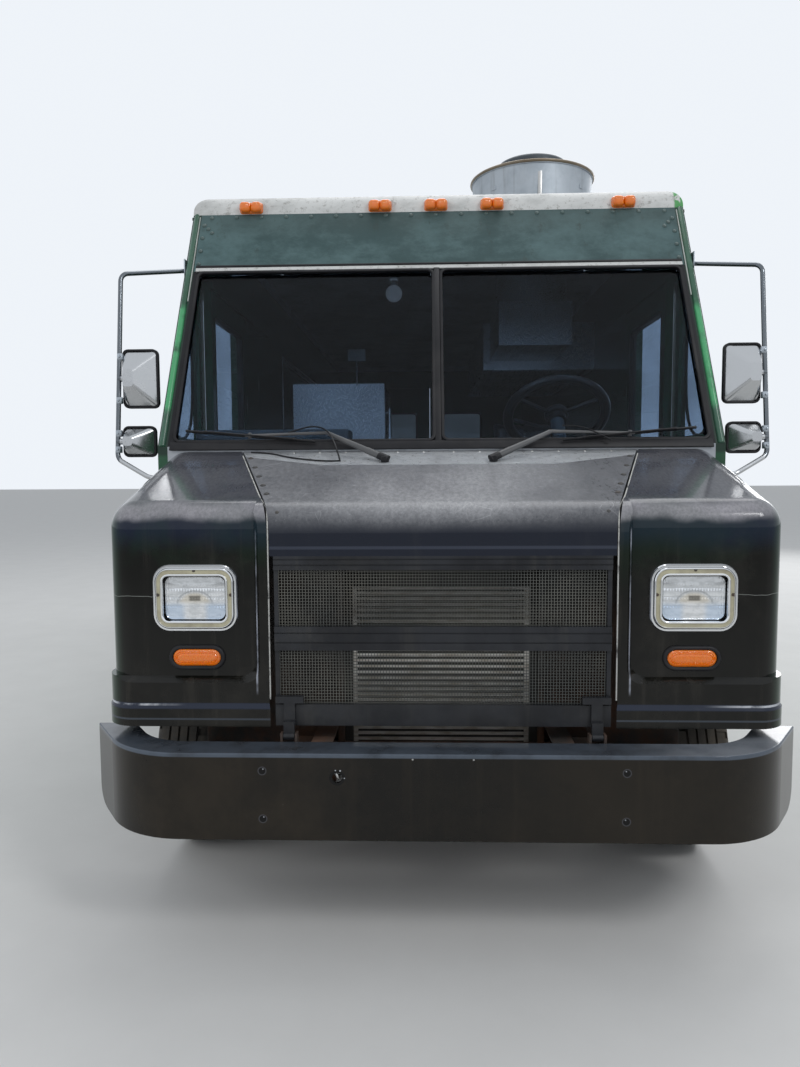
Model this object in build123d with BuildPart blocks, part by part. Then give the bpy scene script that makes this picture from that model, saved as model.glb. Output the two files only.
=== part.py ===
from build123d import *
import os
from math import atan2, cos, radians, sin, tan

# A walk-in food truck. Millimetres: x across (plus is the driver's side), y towards the rear, z up
# from the ground. The origin is on the ground, below the middle of the truck.

# Overall layout
body_width = 2300
body_rear = 3510
bumper_face = -3750
step_end = 3750
front_axle = -2800
rear_axle = 1720
wall = 40
floor_top = 760
floor_depth = 70
skirt_bottom = 480
roof_base = 2800
roof_rise = 100
roof_edge = 92
roof_skin = 40

# Windshield plane, leaning back from the cowl
cowl_front = -2934
cowl_top = 1686
windshield_rake = 28.2
header_height = 300
header_base = roof_base - header_height
glass_sill = 26
glass_side_margin = 24
glass_divider = 36
pane_thickness = 8
pane_clearance = 0.5

# Chassis frame and its cross-members
rail_outer = 432
rail_height = 170
rail_flange = 70
rail_plate = 8
cross_width = 90
cross_height = 82
cross_places = (-1620, -900, 250, 1120, 2340, 3300)
cooler_cross_depth = 140
cooler_cross_height = 56

# Wheels and tyres
tyre_radius = 403
tyre_width = 225
bead_radius = 248
bead_width = 184
bead_fit = 0.2
rim_width = 200
rim_plate = 12
disc_plate = 12
disc_offset = 46
front_track_half = 1000
dual_inner = 773
dual_outer = 1027
hub_radius = 82
hub_bore_radius = 30
running_fit = 0.1
hand_holes = 6
hand_hole_radius = 21
hand_hole_circle = 170

# Front axle, knuckles and tie rod
kingpin_x = 880
kingpin_radius = 20
kingpin_boss_radius = 44
kingpin_boss_height = 116
thrust_gap = 0.5
knuckle_lug = 32
beam_width = 76
beam_height = 86
beam_drop = 60
steering_arm = 180
arm_width = 38
arm_thickness = 24
tie_pin_radius = 10
tie_eye_radius = 21
tie_eye_height = 26
tie_rod_radius = 15
tie_open_clearance = 1.5

# Rear axle and springs
axle_tube_radius = 58
differential_radius = 168
spring_x = 476
spring_width = 68
spring_half = 640
spring_rise = 96
leaf_thickness = 11
spring_leaves = 5
leaf_step = 0.16
hanger_length = 110

# Engine, drive line, exhaust and tank
engine_half = 280
engine_front = -3190
engine_rear = -2330
engine_bottom = 560
engine_top = 1150
engine_foot = 60
gearbox_z = 600
gearbox_radius = 118
gearbox_length = 205
tail_radius = 78
shaft_radius = 40
shaft_front_z = 552
shaft_rear_z = 431
pinion_length = 176
pinion_radius = 52
tank_inner = 560
tank_width = 470
tank_front = -860
tank_length = 760
tank_height = 300
tank_top = 640
exhaust_radius = 38
muffler_radius = 110
muffler_length = 760

# Nose: the fenders, the hood and the grille share one form
nose_front = -3600
nose_half = 1132
nose_bottom = 740
nose_crease = 1468
nose_cowl = 1664
nose_radius = 105
nose_skin = 18
hood_skin = 8
seam_gap = 8
cowl_strip_depth = 56
cowl_strip_middle = 180
cowl_strip_flat = 450
cowl_skin = 14
seam_cowl = 800
seam_crease = 578
seam_face = 559
low_band_top = 815
low_band_step = 12
low_band_bevel = 14
lamp_recess = 24
lamp_recess_side = 8
lamp_recess_inner = 600
lamp_recess_bottom = 866
lamp_recess_corner = 52
lamp_recess_slope = 18
lamp_recess_rear = -3230
arch_radius = 480
rear_arch_radius = 470

# Grille and its tilting hinges
hood_lip = 1305
grille_bars = ((1259, hood_lip), (993, 1072), (741, 812))
grille_bar_depth = 34
grille_end_post = 14
grille_grooves = (0.3, 0.7)
groove_depth = 4
groove_height = 5
strap_x = 503
strap_width = 36
strap_head_width = 92
strap_head_height = 22
strap_top = 841
strap_thickness = 12
hinge_axis_y = -3622
hinge_axis_z = 712
hinge_barrel = 12
hinge_pin = 6
hinge_ear = 8
hinge_side_gap = 2

# Front bumper
bumper_top = 700
bumper_height = 280
bumper_half = 1208
bumper_bend_x = 1003
bumper_bend_radius = 320
bumper_return = -3455
bumper_end_round = 60
bumper_plate = 8
bumper_flange = 108
bumper_low_flange = 60
bumper_edge_round = 5
plate_bolt_spacing = 190
plate_bolt_radius = 3.5
plate_bolt_z = 683
bumper_bolt_x = 568
bumper_bolt_heights = (489, 644)
tow_hole_x = -332
tow_hole_z = 623
tow_hole_radius = 16

# Charge-air cooler in front of the radiator
cooler_half = 346
cooler_face = -3350
cooler_top = 1210
cooler_tank = 46
cooler_depth = 64
cooler_pitch = 20.5
cooler_tube = 11
cooler_tube_proud = 7
radiator_gap = 12
radiator_depth = 66

# Lamps
headlamp_x = 815
headlamp_z = 1165
headlamp_width = 206
headlamp_height = 148
headlamp_corner = 24
bezel_width = 282
bezel_height = 222
bezel_corner = 56
bezel_proud = 26
lens_proud = 12
lens_depth = 52
lamp_fit = 0.3
turn_x = 815
turn_z = 965
turn_width = 160
turn_height = 57
turn_proud = 13
grommet_width = 190
grommet_height = 84
grommet_proud = 9
clearance_lamp_x = (-873, -263, 0, 263, 873)
clearance_lamp_rise = 28
clearance_lamp_z = roof_base + clearance_lamp_rise
clearance_lamp_width = 110
clearance_lamp_height = 54
clearance_lamp_proud = 36
side_marker_y = -3380
side_marker_z = 1000
side_marker_length = 130
side_marker_height = 56
side_marker_proud = 18
tail_lamp_x = 990
tail_lamp_radius = 51
tail_lamp_proud = 16
tail_lamp_heights = (900, 1040)
rear_marker_x = (-960, -220, 0, 220, 960)
rear_marker_drop = 85
rear_marker_z = roof_base - rear_marker_drop
rear_marker_length = 98
rear_marker_height = 44

# Side openings
door_front = -2356
door_length = 650
door_sill = 560
door_head_drop = 370
door_head = roof_base - door_head_drop
door_lap = 18
door_thickness = 38
door_side_gap = 6
door_track_height = 34
door_hang_gap = 0.4
door_travel = 640
door_window_sill = 1500
door_window_head = door_head - 100
door_window_margin = 58
quarter_rear = -2446
quarter_sill = 1730
service_front = -300
service_rear = 1700
service_sill = 1660
service_head_drop = 360
service_head = roof_base - service_head_drop
hatch_lap = 40
hatch_thickness = 32
hatch_gap = 8
hatch_hinge_radius = 10
hatch_hinge_count = 4
hatch_hinge_length = 120
shelf_depth = 220
shelf_thickness = 26

# Rear doors and the rear step
rear_door_half = 780
rear_door_sill = 800
rear_door_head_drop = 200
rear_door_head = roof_base - rear_door_head_drop
rear_door_lap = 26
rear_door_thickness = 36
rear_door_gap = 5
rear_hinge_radius = 11
rear_hinge_length = 140
rear_hinge_heights = (1000, 1700, rear_door_head - 200)
rear_window_width = 460
rear_window_low = 1700
rear_window_high = rear_door_head - 300
step_top = 600
step_height = 120
step_half = 1050
receiver_outer = 76
receiver_inner = 51
receiver_length = 240
receiver_z = 450
receiver_pin_radius = 8
receiver_pin_back = 60

# Mirrors and wipers
mirror_tube = 10
mirror_tube_x = 1366
mirror_head_x = 1276
mirror_plate = 16
mirror_back = 56
mirror_rows = ((header_base - 640, header_base - 392, 152), (1650, 1779, 140))
wiper_pivot_x = 210
wiper_pivot_back = 32
wiper_knee_x = 452
wiper_knee_z = 1738
wiper_blade_x = (504, 1030)
wiper_blade_z = (1702, 1749)
wiper_stand_off = 24

# Roof exhaust fan
fan_x = 612
fan_y = -1086
fan_radius = 372
fan_band_base = 352
fan_bead = 6
fan_curb = 600
fan_curb_height = 150
fan_band_plate = 6
fan_rise = 464
fan_rim_top = roof_base + roof_rise + fan_rise
fan_motor_radius = 150
fan_cap_radius = 215
fan_cap_height = 34
fan_cap_round = 22
fan_dome_rise = 106
fan_dome_top = fan_rim_top + fan_dome_rise
fan_wheel_radius = 250
duct_radius = 220

# Cab and kitchen
toe_front = -2310
toe_top = 900
cover_half = 380
cover_rear = -2080
cover_top = 1250
cover_skin = 30
step_well_inner = 800
pocket_rear = -990
pocket_inner = 1050
seat_x = 560
seat_y = -1800
wheel_centre = (550, -2470, 1835)
wheel_rim_radius = 228
wheel_tilt = 40
counter_top = 1640
counter_inner = 520
cook_inner = 430
cook_outer = 1040
kitchen_front = -560
hood_drop = 520
hood_low = roof_base - hood_drop
fridge_left = -850
fridge_right = -300
fridge_front = -1380
fridge_rear = -700
fridge_drop = 690
fridge_top = roof_base - fridge_drop

# Sizes that follow from the ones above
rail_rear = body_rear - wall
panel_side = nose_half - lamp_recess_side
half_width = body_width / 2
inner_half = half_width - wall
roof_top = roof_base + roof_rise
rail_top = floor_top - floor_depth
rail_bottom = rail_top - rail_height
slope = tan(radians(windshield_rake))
wall_across = wall / cos(radians(windshield_rake))
door_rear = door_front + door_length
door_outer = inner_half - door_side_gap
door_inner = door_outer - door_thickness
cooler_base = rail_bottom + 26 + cooler_cross_height
nose_pitch = (nose_cowl - nose_crease) / (cowl_front - nose_front - 34)
sides = (("left", 1), ("right", -1))


def windshield_y(z):
    """Front of the raked windshield plane at a height."""
    return cowl_front + (z - cowl_top) * slope


def block(x0, x1, y0, y1, z0, z1, mode=Mode.ADD):
    """A box between two corners, in the part that is open."""
    with Locations(((x0 + x1) / 2, (y0 + y1) / 2, (z0 + z1) / 2)):
        Box(abs(x1 - x0), abs(y1 - y0), abs(z1 - z0), mode=mode)


def rod(start, end, radius, mode=Mode.ADD):
    """A round bar between two points, in the part that is open."""
    along = Vector(*end) - Vector(*start)
    with BuildSketch(Plane(origin=start, z_dir=along)) as section:
        Circle(radius)
    extrude(section.sketch, amount=along.length, mode=mode)


def side_slab(points, x0, x1, mode=Mode.ADD):
    """An outline of (y, z) points between two planes across the truck."""
    with BuildSketch(Plane.YZ.offset(x0)) as outline:
        with BuildLine():
            Polyline(*points, close=True)
        make_face()
    extrude(outline.sketch, amount=x1 - x0, mode=mode)


def plan_slab(points, z0, z1, mode=Mode.ADD):
    """An outline of (x, y) points between two heights."""
    with BuildSketch(Plane.XY.offset(z0)) as outline:
        with BuildLine():
            Polyline(*points, close=True)
        make_face()
    extrude(outline.sketch, amount=z1 - z0, mode=mode)


def save(builder, name):
    """Names a finished piece and writes its file."""
    builder.part.label = name
    export_step(builder.part, f"parts/{name}.step")


os.makedirs("parts", exist_ok=True)

# Chassis frame: two channel rails, cross-members, bumper brackets and the hood's hinge ears
front_rail_end = bumper_face + bumper_plate
with BuildPart() as chassis_frame:
    for side in (1, -1):
        web = side * (rail_outer - rail_plate)
        block(side * rail_outer, web, front_rail_end, rail_rear, rail_bottom, rail_top)
        for low in (rail_bottom, rail_top - rail_plate):
            block(side * rail_outer, side * (rail_outer - rail_flange),
                  front_rail_end, rail_rear, low, low + rail_plate)
    for place in cross_places:
        block(-rail_outer + rail_plate / 2, rail_outer - rail_plate / 2,
              place - cross_width / 2, place + cross_width / 2,
              rail_top - rail_plate - cross_height, rail_top - rail_plate)
    block(-rail_outer + rail_plate / 2, rail_outer - rail_plate / 2, cooler_face - 20,
          cooler_face - 20 + cooler_cross_depth, cooler_base - cooler_cross_height, cooler_base)
    for side in (1, -1):
        ear_inner = strap_x - strap_width / 2 - hinge_side_gap - hinge_ear
        ear_outer = strap_x + strap_width / 2 + hinge_side_gap + hinge_ear
        bracket_rear = front_rail_end + 14
        block(side * (rail_outer - rail_plate / 2), side * (bumper_bolt_x + 52),
              front_rail_end, bracket_rear, bumper_bolt_heights[0] - 30, bumper_bolt_heights[1] + 40)
        block(side * ear_inner, side * ear_outer, front_rail_end + 4, hinge_axis_y + 18,
              hinge_axis_z - 72, hinge_axis_z - 60)
        for inner in (ear_inner, ear_outer - hinge_ear):
            block(side * inner, side * (inner + hinge_ear), hinge_axis_y - hinge_barrel,
                  hinge_axis_y + 18, hinge_axis_z - 66, hinge_axis_z + hinge_barrel)
        rod((side * ear_inner, hinge_axis_y, hinge_axis_z),
            (side * ear_outer, hinge_axis_y, hinge_axis_z), hinge_pin)
save(chassis_frame, "chassis_frame")

# Front axle: a dropped beam between two kingpin bosses
boss_low = tyre_radius - kingpin_boss_height / 2
beam_top = tyre_radius - 2
with BuildPart() as front_axle_beam:
    for side in (1, -1):
        rod((side * kingpin_x, front_axle, boss_low),
            (side * kingpin_x, front_axle, boss_low + kingpin_boss_height), kingpin_boss_radius)
        with BuildSketch(Plane.XZ.offset(-(front_axle + beam_width / 2))) as arm_side:
            with BuildLine():
                Polyline((side * kingpin_x, boss_low + 14),
                         (side * kingpin_x, boss_low + 14 + beam_height),
                         (side * (kingpin_x - 90), boss_low + 14 + beam_height),
                         (side * 600, beam_top - beam_drop + beam_height / 2),
                         (side * 600, beam_top - beam_drop - beam_height / 2),
                         (side * (kingpin_x - 80), boss_low + 14), close=True)
            make_face()
        extrude(arm_side.sketch, amount=beam_width)
    block(-600, 600, front_axle - beam_width / 2, front_axle + beam_width / 2,
          beam_top - beam_drop - beam_height / 2, beam_top - beam_drop + beam_height / 2)
    for side in (1, -1):
        rod((side * kingpin_x, front_axle, boss_low - 1),
            (side * kingpin_x, front_axle, boss_low + kingpin_boss_height + 1),
            kingpin_radius + running_fit, mode=Mode.SUBTRACT)
save(front_axle_beam, "front_axle")
perch_front = beam_top - beam_drop + beam_height / 2

# Knuckles: two lugs on the kingpin, the wheel spindle and the steering arm
lug_low = boss_low - thrust_gap - knuckle_lug
lug_high = boss_low + kingpin_boss_height + thrust_gap
pin_top = lug_low + arm_thickness + tie_eye_height + 14
front_hub_inner = front_track_half - 20
front_hub_outer = front_track_half + disc_offset + disc_plate + 30
for name, side in sides:
    with BuildPart() as knuckle:
        for low in (lug_low, lug_high):
            rod((side * kingpin_x, front_axle, low), (side * kingpin_x, front_axle, low + knuckle_lug),
                kingpin_boss_radius - 2)
            block(side * kingpin_x, side * (kingpin_x + kingpin_boss_radius + 26), front_axle - 34,
                  front_axle + 34, low, low + knuckle_lug)
        block(side * (kingpin_x + kingpin_boss_radius + 4), side * (kingpin_x + kingpin_boss_radius + 26),
              front_axle - 34, front_axle + 34, lug_low, lug_high + knuckle_lug)
        rod((side * kingpin_x, front_axle, lug_low), (side * kingpin_x, front_axle, lug_high + knuckle_lug),
            kingpin_radius)
        rod((side * (kingpin_x + kingpin_boss_radius + 10), front_axle, tyre_radius),
            (side * (front_hub_inner - thrust_gap), front_axle, tyre_radius), hub_bore_radius + 16)
        rod((side * (kingpin_x + kingpin_boss_radius + 10), front_axle, tyre_radius),
            (side * (front_hub_outer - 12), front_axle, tyre_radius), hub_bore_radius)
        block(side * kingpin_x - arm_width / 2, side * kingpin_x + arm_width / 2, front_axle,
              front_axle + steering_arm, lug_low, lug_low + arm_thickness)
        rod((side * kingpin_x, front_axle + steering_arm, lug_low),
            (side * kingpin_x, front_axle + steering_arm, lug_low + arm_thickness), arm_width / 2)
        rod((side * kingpin_x, front_axle + steering_arm, lug_low),
            (side * kingpin_x, front_axle + steering_arm, pin_top), tie_pin_radius)
    save(knuckle, f"knuckle_{name}")

# Tie rod: it carries an eye at each steering arm
tie_low = lug_low + arm_thickness + thrust_gap
tie_y = front_axle + steering_arm
with BuildPart() as tie_rod:
    for side in (1, -1):
        rod((side * kingpin_x, tie_y, tie_low), (side * kingpin_x, tie_y, tie_low + tie_eye_height),
            tie_eye_radius)
    rod((-kingpin_x, tie_y, tie_low + tie_eye_height / 2), (kingpin_x, tie_y, tie_low + tie_eye_height / 2),
        tie_rod_radius - 3)
    for side, clearance in ((-1, running_fit), (1, tie_open_clearance)):
        rod((side * kingpin_x, tie_y, tie_low - 1), (side * kingpin_x, tie_y, tie_low + tie_eye_height + 1),
            tie_pin_radius + clearance, mode=Mode.SUBTRACT)
save(tie_rod, "tie_rod")

# Tyres: one road tyre on each front hub, two side by side on each rear hub
shoulder = 20


def tyre_ring(x, y):
    """A tyre's outline turned about the wheel's axle."""
    half = tyre_width / 2
    bead = bead_width / 2
    crown = tyre_radius - shoulder
    with BuildSketch(Plane(origin=(x, y, tyre_radius), x_dir=(1, 0, 0), z_dir=(0, 0, 1))) as outline:
        with BuildLine():
            Polyline((-bead, bead_radius + 20), (-bead, bead_radius), (bead, bead_radius),
                     (bead, bead_radius + 20))
            ThreePointArc((bead, bead_radius + 20), (half, (bead_radius + tyre_radius) / 2), (half - 6, crown))
            ThreePointArc((half - 6, crown), (half - 13, tyre_radius - 6), (half - 28, tyre_radius))
            Line((half - 28, tyre_radius), (-half + 28, tyre_radius))
            ThreePointArc((-half + 28, tyre_radius), (-half + 13, tyre_radius - 6), (-half + 6, crown))
            ThreePointArc((-half + 6, crown), (-half, (bead_radius + tyre_radius) / 2),
                          (-bead, bead_radius + 20))
        make_face()
    revolve(outline.sketch, axis=Axis((x, y, tyre_radius), (1, 0, 0)))


def rim_barrel(x, y):
    """A rim's barrel with a flange at each bead."""
    half = rim_width / 2
    seat = bead_radius - bead_fit
    with BuildSketch(Plane(origin=(x, y, tyre_radius), x_dir=(1, 0, 0), z_dir=(0, 0, 1))) as outline:
        with BuildLine():
            Polyline((-half, seat + 14), (-half + 7, seat + 14), (-half + 7, seat), (half - 7, seat),
                     (half - 7, seat + 14), (half, seat + 14), (half, seat - rim_plate),
                     (-half, seat - rim_plate), close=True)
        make_face()
    revolve(outline.sketch, axis=Axis((x, y, tyre_radius), (1, 0, 0)))


def wheel_disc(x, y):
    """The disc inside a barrel, with its ring of hand holes."""
    rod((x, y, tyre_radius), (x + disc_plate, y, tyre_radius), bead_radius - bead_fit - rim_plate / 2)
    for turn in range(hand_holes):
        angle = radians(360 / hand_holes * turn)
        hole_y = y + hand_hole_circle * cos(angle)
        hole_z = tyre_radius + hand_hole_circle * sin(angle)
        rod((x - 1, hole_y, hole_z), (x + disc_plate + 1, hole_y, hole_z), hand_hole_radius,
            mode=Mode.SUBTRACT)


for name, side in sides:
    with BuildPart() as front_tyre:
        tyre_ring(side * front_track_half, front_axle)
    save(front_tyre, f"front_tyre_{name}")
    disc_x = side * (front_track_half + disc_offset) - (disc_plate if side < 0 else 0)
    with BuildPart() as front_rim:
        rim_barrel(side * front_track_half, front_axle)
        wheel_disc(disc_x, front_axle)
        rod((side * front_hub_inner, front_axle, tyre_radius), (side * front_hub_outer, front_axle, tyre_radius),
            hub_radius)
        rod((side * (front_hub_inner - 1), front_axle, tyre_radius),
            (side * (front_hub_outer - 10), front_axle, tyre_radius), hub_bore_radius + running_fit,
            mode=Mode.SUBTRACT)
    save(front_rim, f"front_rim_{name}")

dual_middle = (dual_inner + dual_outer) / 2
rear_hub_inner = dual_middle - 90
rear_hub_outer = dual_middle + 100
for name, side in sides:
    with BuildPart() as rear_tyres:
        for place in (dual_inner, dual_outer):
            tyre_ring(side * place, rear_axle)
    save(rear_tyres, f"rear_tyres_{name}")
    with BuildPart() as rear_rims:
        for place in (dual_inner, dual_outer):
            rim_barrel(side * place, rear_axle)
        inner_flange = dual_inner + rim_width / 2
        outer_flange = dual_outer - rim_width / 2
        rod((side * inner_flange, rear_axle, tyre_radius), (side * outer_flange, rear_axle, tyre_radius),
            bead_radius - bead_fit - 1)
        rod((side * (inner_flange - 1), rear_axle, tyre_radius),
            (side * (outer_flange + 1), rear_axle, tyre_radius), bead_radius - bead_fit - rim_plate,
            mode=Mode.SUBTRACT)
        for place in (dual_middle - disc_plate, dual_middle):
            wheel_disc(side * place - (disc_plate if side < 0 else 0), rear_axle)
        rod((side * rear_hub_inner, rear_axle, tyre_radius), (side * rear_hub_outer, rear_axle, tyre_radius),
            hub_radius)
        rod((side * (rear_hub_inner - 1), rear_axle, tyre_radius),
            (side * (rear_hub_outer - 14), rear_axle, tyre_radius), hub_bore_radius + running_fit,
            mode=Mode.SUBTRACT)
    save(rear_rims, f"rear_rims_{name}")

# Rear axle housing with its spindles
with BuildPart() as rear_axle_housing:
    tube_end = rear_hub_inner - thrust_gap
    rod((-tube_end, rear_axle, tyre_radius), (tube_end, rear_axle, tyre_radius), axle_tube_radius)
    spindle_end = rear_hub_outer - 16
    rod((-spindle_end, rear_axle, tyre_radius), (spindle_end, rear_axle, tyre_radius), hub_bore_radius)
    with Locations((0, rear_axle, tyre_radius)):
        Sphere(differential_radius)
    rod((0, rear_axle, tyre_radius), (0, rear_axle - pinion_length, shaft_rear_z), pinion_radius)
save(rear_axle_housing, "rear_axle")

# Leaf springs: arched packs hung from the rails' outer faces
with BuildPart() as leaf_springs:
    rows = ((front_axle, perch_front), (rear_axle, tyre_radius + axle_tube_radius))
    for axle_y, perch in rows:
        for side in (1, -1):
            inner = side * (spring_x - spring_width / 2)
            outer = side * (spring_x + spring_width / 2)
            for leaf in range(spring_leaves):
                half = spring_half * (1 - leaf_step * leaf)
                low = perch + (spring_leaves - 1 - leaf) * leaf_thickness
                rise = spring_rise * (half / spring_half) ** 2
                with BuildSketch(Plane.YZ.offset(inner)) as curve:
                    with BuildLine():
                        ThreePointArc((axle_y - half, low + rise), (axle_y, low), (axle_y + half, low + rise))
                        Line((axle_y + half, low + rise), (axle_y + half, low + rise + leaf_thickness))
                        ThreePointArc((axle_y + half, low + rise + leaf_thickness),
                                      (axle_y, low + leaf_thickness),
                                      (axle_y - half, low + rise + leaf_thickness))
                        Line((axle_y - half, low + rise + leaf_thickness), (axle_y - half, low + rise))
                    make_face()
                extrude(curve.sketch, amount=outer - inner)
            block(inner, outer, axle_y - 60, axle_y + 60, perch + 5, perch + spring_leaves * leaf_thickness + 14)
            eye_z = perch + spring_rise + spring_leaves * leaf_thickness - 6
            for end in (-1, 1):
                block(side * rail_outer, outer, axle_y + end * (spring_half - hanger_length / 2),
                      axle_y + end * (spring_half + hanger_length / 2), eye_z - 12, rail_top - 20)
save(leaf_springs, "leaf_springs")

# Engine: one plain block with a foot on each rail
with BuildPart() as engine:
    block(-engine_half, engine_half, engine_front, engine_rear, engine_bottom, engine_top)
    for side in (1, -1):
        for place in (engine_front + 210, engine_rear - 130):
            block(side * (engine_half - 10), side * rail_outer, place - engine_foot / 2,
                  place + engine_foot / 2, rail_top, rail_top + 24)

# Gearbox and drive shaft down to the rear axle, in one piece with the engine
tail_end = cross_places[0] - cross_width / 2
pinion_face = Vector(0, rear_axle - pinion_length, shaft_rear_z)
with BuildPart() as power_train:
    add(engine.part)
    rod((0, engine_rear, gearbox_z), (0, engine_rear + gearbox_length, gearbox_z), gearbox_radius)
    rod((0, engine_rear + gearbox_length, gearbox_z), (0, tail_end, gearbox_z), tail_radius)
    shaft_start = Vector(0, tail_end - 40, shaft_front_z)
    reach = pinion_face - shaft_start
    rod(shaft_start, shaft_start + reach * (1 - 6 / reach.length), shaft_radius)
save(power_train, "power_train")

# Fuel tank on two brackets beside the frame
with BuildPart() as fuel_tank:
    block(tank_inner, tank_inner + tank_width, tank_front, tank_front + tank_length,
          tank_top - tank_height, tank_top)
    fillet(fuel_tank.edges().filter_by(Axis.Y), 45)
    for place in (tank_front + 150, tank_front + tank_length - 150):
        block(rail_outer, tank_inner + 20, place - 30, place + 30, tank_top - 150, tank_top - 60)
save(fuel_tank, "fuel_tank")

# Exhaust: down pipe, muffler and tail pipe on the kerb side
muffler_place = (-700, -900, 520)
with BuildPart() as exhaust_system:
    with BuildLine() as front_pipe:
        FilletPolyline((-200, -2420, engine_bottom), (-200, -2420, 468), (-200, -1960, 468),
                       (-640, -1500, 480), (muffler_place[0], muffler_place[1] + 20, muffler_place[2]),
                       radius=40)
    with BuildSketch(Plane(origin=(-200, -2420, engine_bottom), z_dir=(0, 0, -1))) as front_section:
        Circle(exhaust_radius)
    sweep(front_section.sketch, path=front_pipe.line)
    muffler_end = muffler_place[1] + muffler_length
    rod(muffler_place, (muffler_place[0], muffler_end, muffler_place[2]), muffler_radius)
    with BuildLine() as tail_pipe:
        FilletPolyline((muffler_place[0], muffler_end - 20, muffler_place[2]),
                       (muffler_place[0], 640, muffler_place[2]), (-inner_half + 30, 1010, 500), radius=120)
    with BuildSketch(Plane(origin=(muffler_place[0], muffler_end - 20, muffler_place[2]),
                           z_dir=(0, 1, 0))) as tail_section:
        Circle(exhaust_radius)
    sweep(tail_section.sketch, path=tail_pipe.line)
    for place in (muffler_place[1] + 120, muffler_end - 120):
        block(-rail_outer, muffler_place[0] + muffler_radius / 2, place - 20, place + 20,
              muffler_place[2] + 20, muffler_place[2] + 60)
save(exhaust_system, "exhaust_system")

# Cooling pack: the charge-air cooler with its flat tubes, and the radiator behind it
with BuildPart() as cooling_pack:
    core_face = cooler_face + cooler_tube_proud
    core_rear = cooler_face + cooler_depth
    block(-cooler_half, cooler_half, core_face, core_rear, cooler_base, cooler_top)
    for side in (1, -1):
        block(side * (cooler_half - cooler_tank), side * cooler_half, cooler_face, core_rear,
              cooler_base, cooler_top)
    tube_count = int((cooler_top - cooler_base) / cooler_pitch)
    for row in range(tube_count):
        low = cooler_base + cooler_pitch * (row + 0.5) - cooler_tube / 2
        block(-cooler_half + cooler_tank / 2, cooler_half - cooler_tank / 2, cooler_face, core_face,
              low, low + cooler_tube)
    radiator_face = core_rear + radiator_gap
    block(-cooler_half, cooler_half, radiator_face, radiator_face + radiator_depth, cooler_base,
          cooler_top + 30)
save(cooling_pack, "cooling_pack")


# The nose is drawn once, at an inset: its face, its sloped top and its rounded edges
def nose_form(inset, side_inset, top_inset, low=nose_bottom):
    """The nose's outline from the side, across the truck, with its outer edges rounded."""
    face = nose_front + inset
    half = nose_half - side_inset
    crease = nose_crease + (inset - 34) * nose_pitch - top_inset
    radius = nose_radius - max(side_inset, top_inset) * 0.8
    with BuildPart() as form:
        side_slab([(cowl_front, low), (cowl_front, nose_cowl - top_inset), (face, crease), (face, low)],
                  -half, half)
        front_edges = form.edges().filter_by(Axis.Z).group_by(Axis.Y)[0]
        crease_edge = form.edges().filter_by(Axis.X).filter_by(
            lambda e: abs(e.center().Y - face) < 1 and e.center().Z > crease - 1)
        slope_edges = form.edges().filter_by(
            lambda e: abs(abs(e.center().X) - half) < 1 and face + 1 < e.center().Y < cowl_front - 1
            and e.center().Z > crease)
        fillet(list(front_edges) + list(crease_edge) + list(slope_edges), radius)
    return form.part


with BuildPart(mode=Mode.PRIVATE) as nose_shell:
    add(nose_form(0, 0, 0))
    with BuildPart(mode=Mode.PRIVATE) as recess:
        for side in (1, -1):
            outlines = ((nose_front - 30, 30 * lamp_recess_slope / lamp_recess),
                        (nose_front + lamp_recess, -lamp_recess_slope),
                        (lamp_recess_rear, -lamp_recess_slope))
            for (start, grow), (end, shrink) in zip(outlines, outlines[1:]):
                for place, spread in ((start, grow), (end, shrink)):
                    inner = lamp_recess_inner - spread
                    bottom = lamp_recess_bottom + lamp_recess_slope - spread
                    with BuildSketch(Plane.XZ.offset(-place)):
                        with BuildLine():
                            corner = lamp_recess_corner
                            Line((side * 1300, bottom), (side * (inner + corner), bottom))
                            ThreePointArc((side * (inner + corner), bottom),
                                          (side * (inner + corner * 0.293), bottom + corner * 0.293),
                                          (side * inner, bottom + corner))
                            Polyline((side * inner, bottom + corner), (side * inner, 1700),
                                     (side * 1300, 1700), (side * 1300, bottom))
                        make_face()
                loft(ruled=True)
    add(recess.part, mode=Mode.SUBTRACT)
    with BuildPart(mode=Mode.PRIVATE) as lamp_panel:
        add(nose_form(lamp_recess, lamp_recess_side, 0))
        add(recess.part, mode=Mode.INTERSECT)
    add(lamp_panel.part)
    with BuildPart(mode=Mode.PRIVATE) as low_band:
        add(nose_form(-low_band_step, 0, 0))
        block(-1400, 1400, -4000, 0, low_band_top, 2000, mode=Mode.SUBTRACT)
        top_edges = low_band.faces().sort_by(Axis.Z)[-1].edges().filter_by(
            lambda e: e.center().Y < cowl_front - 1)
        chamfer(top_edges, low_band_bevel, low_band_step - 0.5)
    add(low_band.part)
    add(nose_form(nose_skin + lamp_recess, nose_skin + lamp_recess_side, nose_skin, low=nose_bottom - 50),
        mode=Mode.SUBTRACT)

seam_points = ((seam_cowl, cowl_front), (seam_crease, nose_front + 27), (seam_face, nose_front - 20))


def seam_plan(gap):
    """The hood's plan, between its seams, grown or shrunk by a gap."""
    right = [(x + gap, y) for x, y in seam_points]
    corners = [(right[0][0], 0)] + right + [(right[-1][0], -4000)]
    return corners + [(-x, y) for x, y in reversed(corners)]


def cowl_plan(gap):
    """The plan of all that lies behind the hood's bowed rear edge, grown forwards by a gap."""
    edge = [(1500, cowl_strip_depth), (seam_cowl, cowl_strip_depth), (cowl_strip_flat, cowl_strip_middle)]
    right = [(x, cowl_front - depth - gap) for x, depth in edge]
    return [(1500, 200)] + right + [(-x, y) for x, y in reversed(right)] + [(-1500, 200)]


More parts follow.
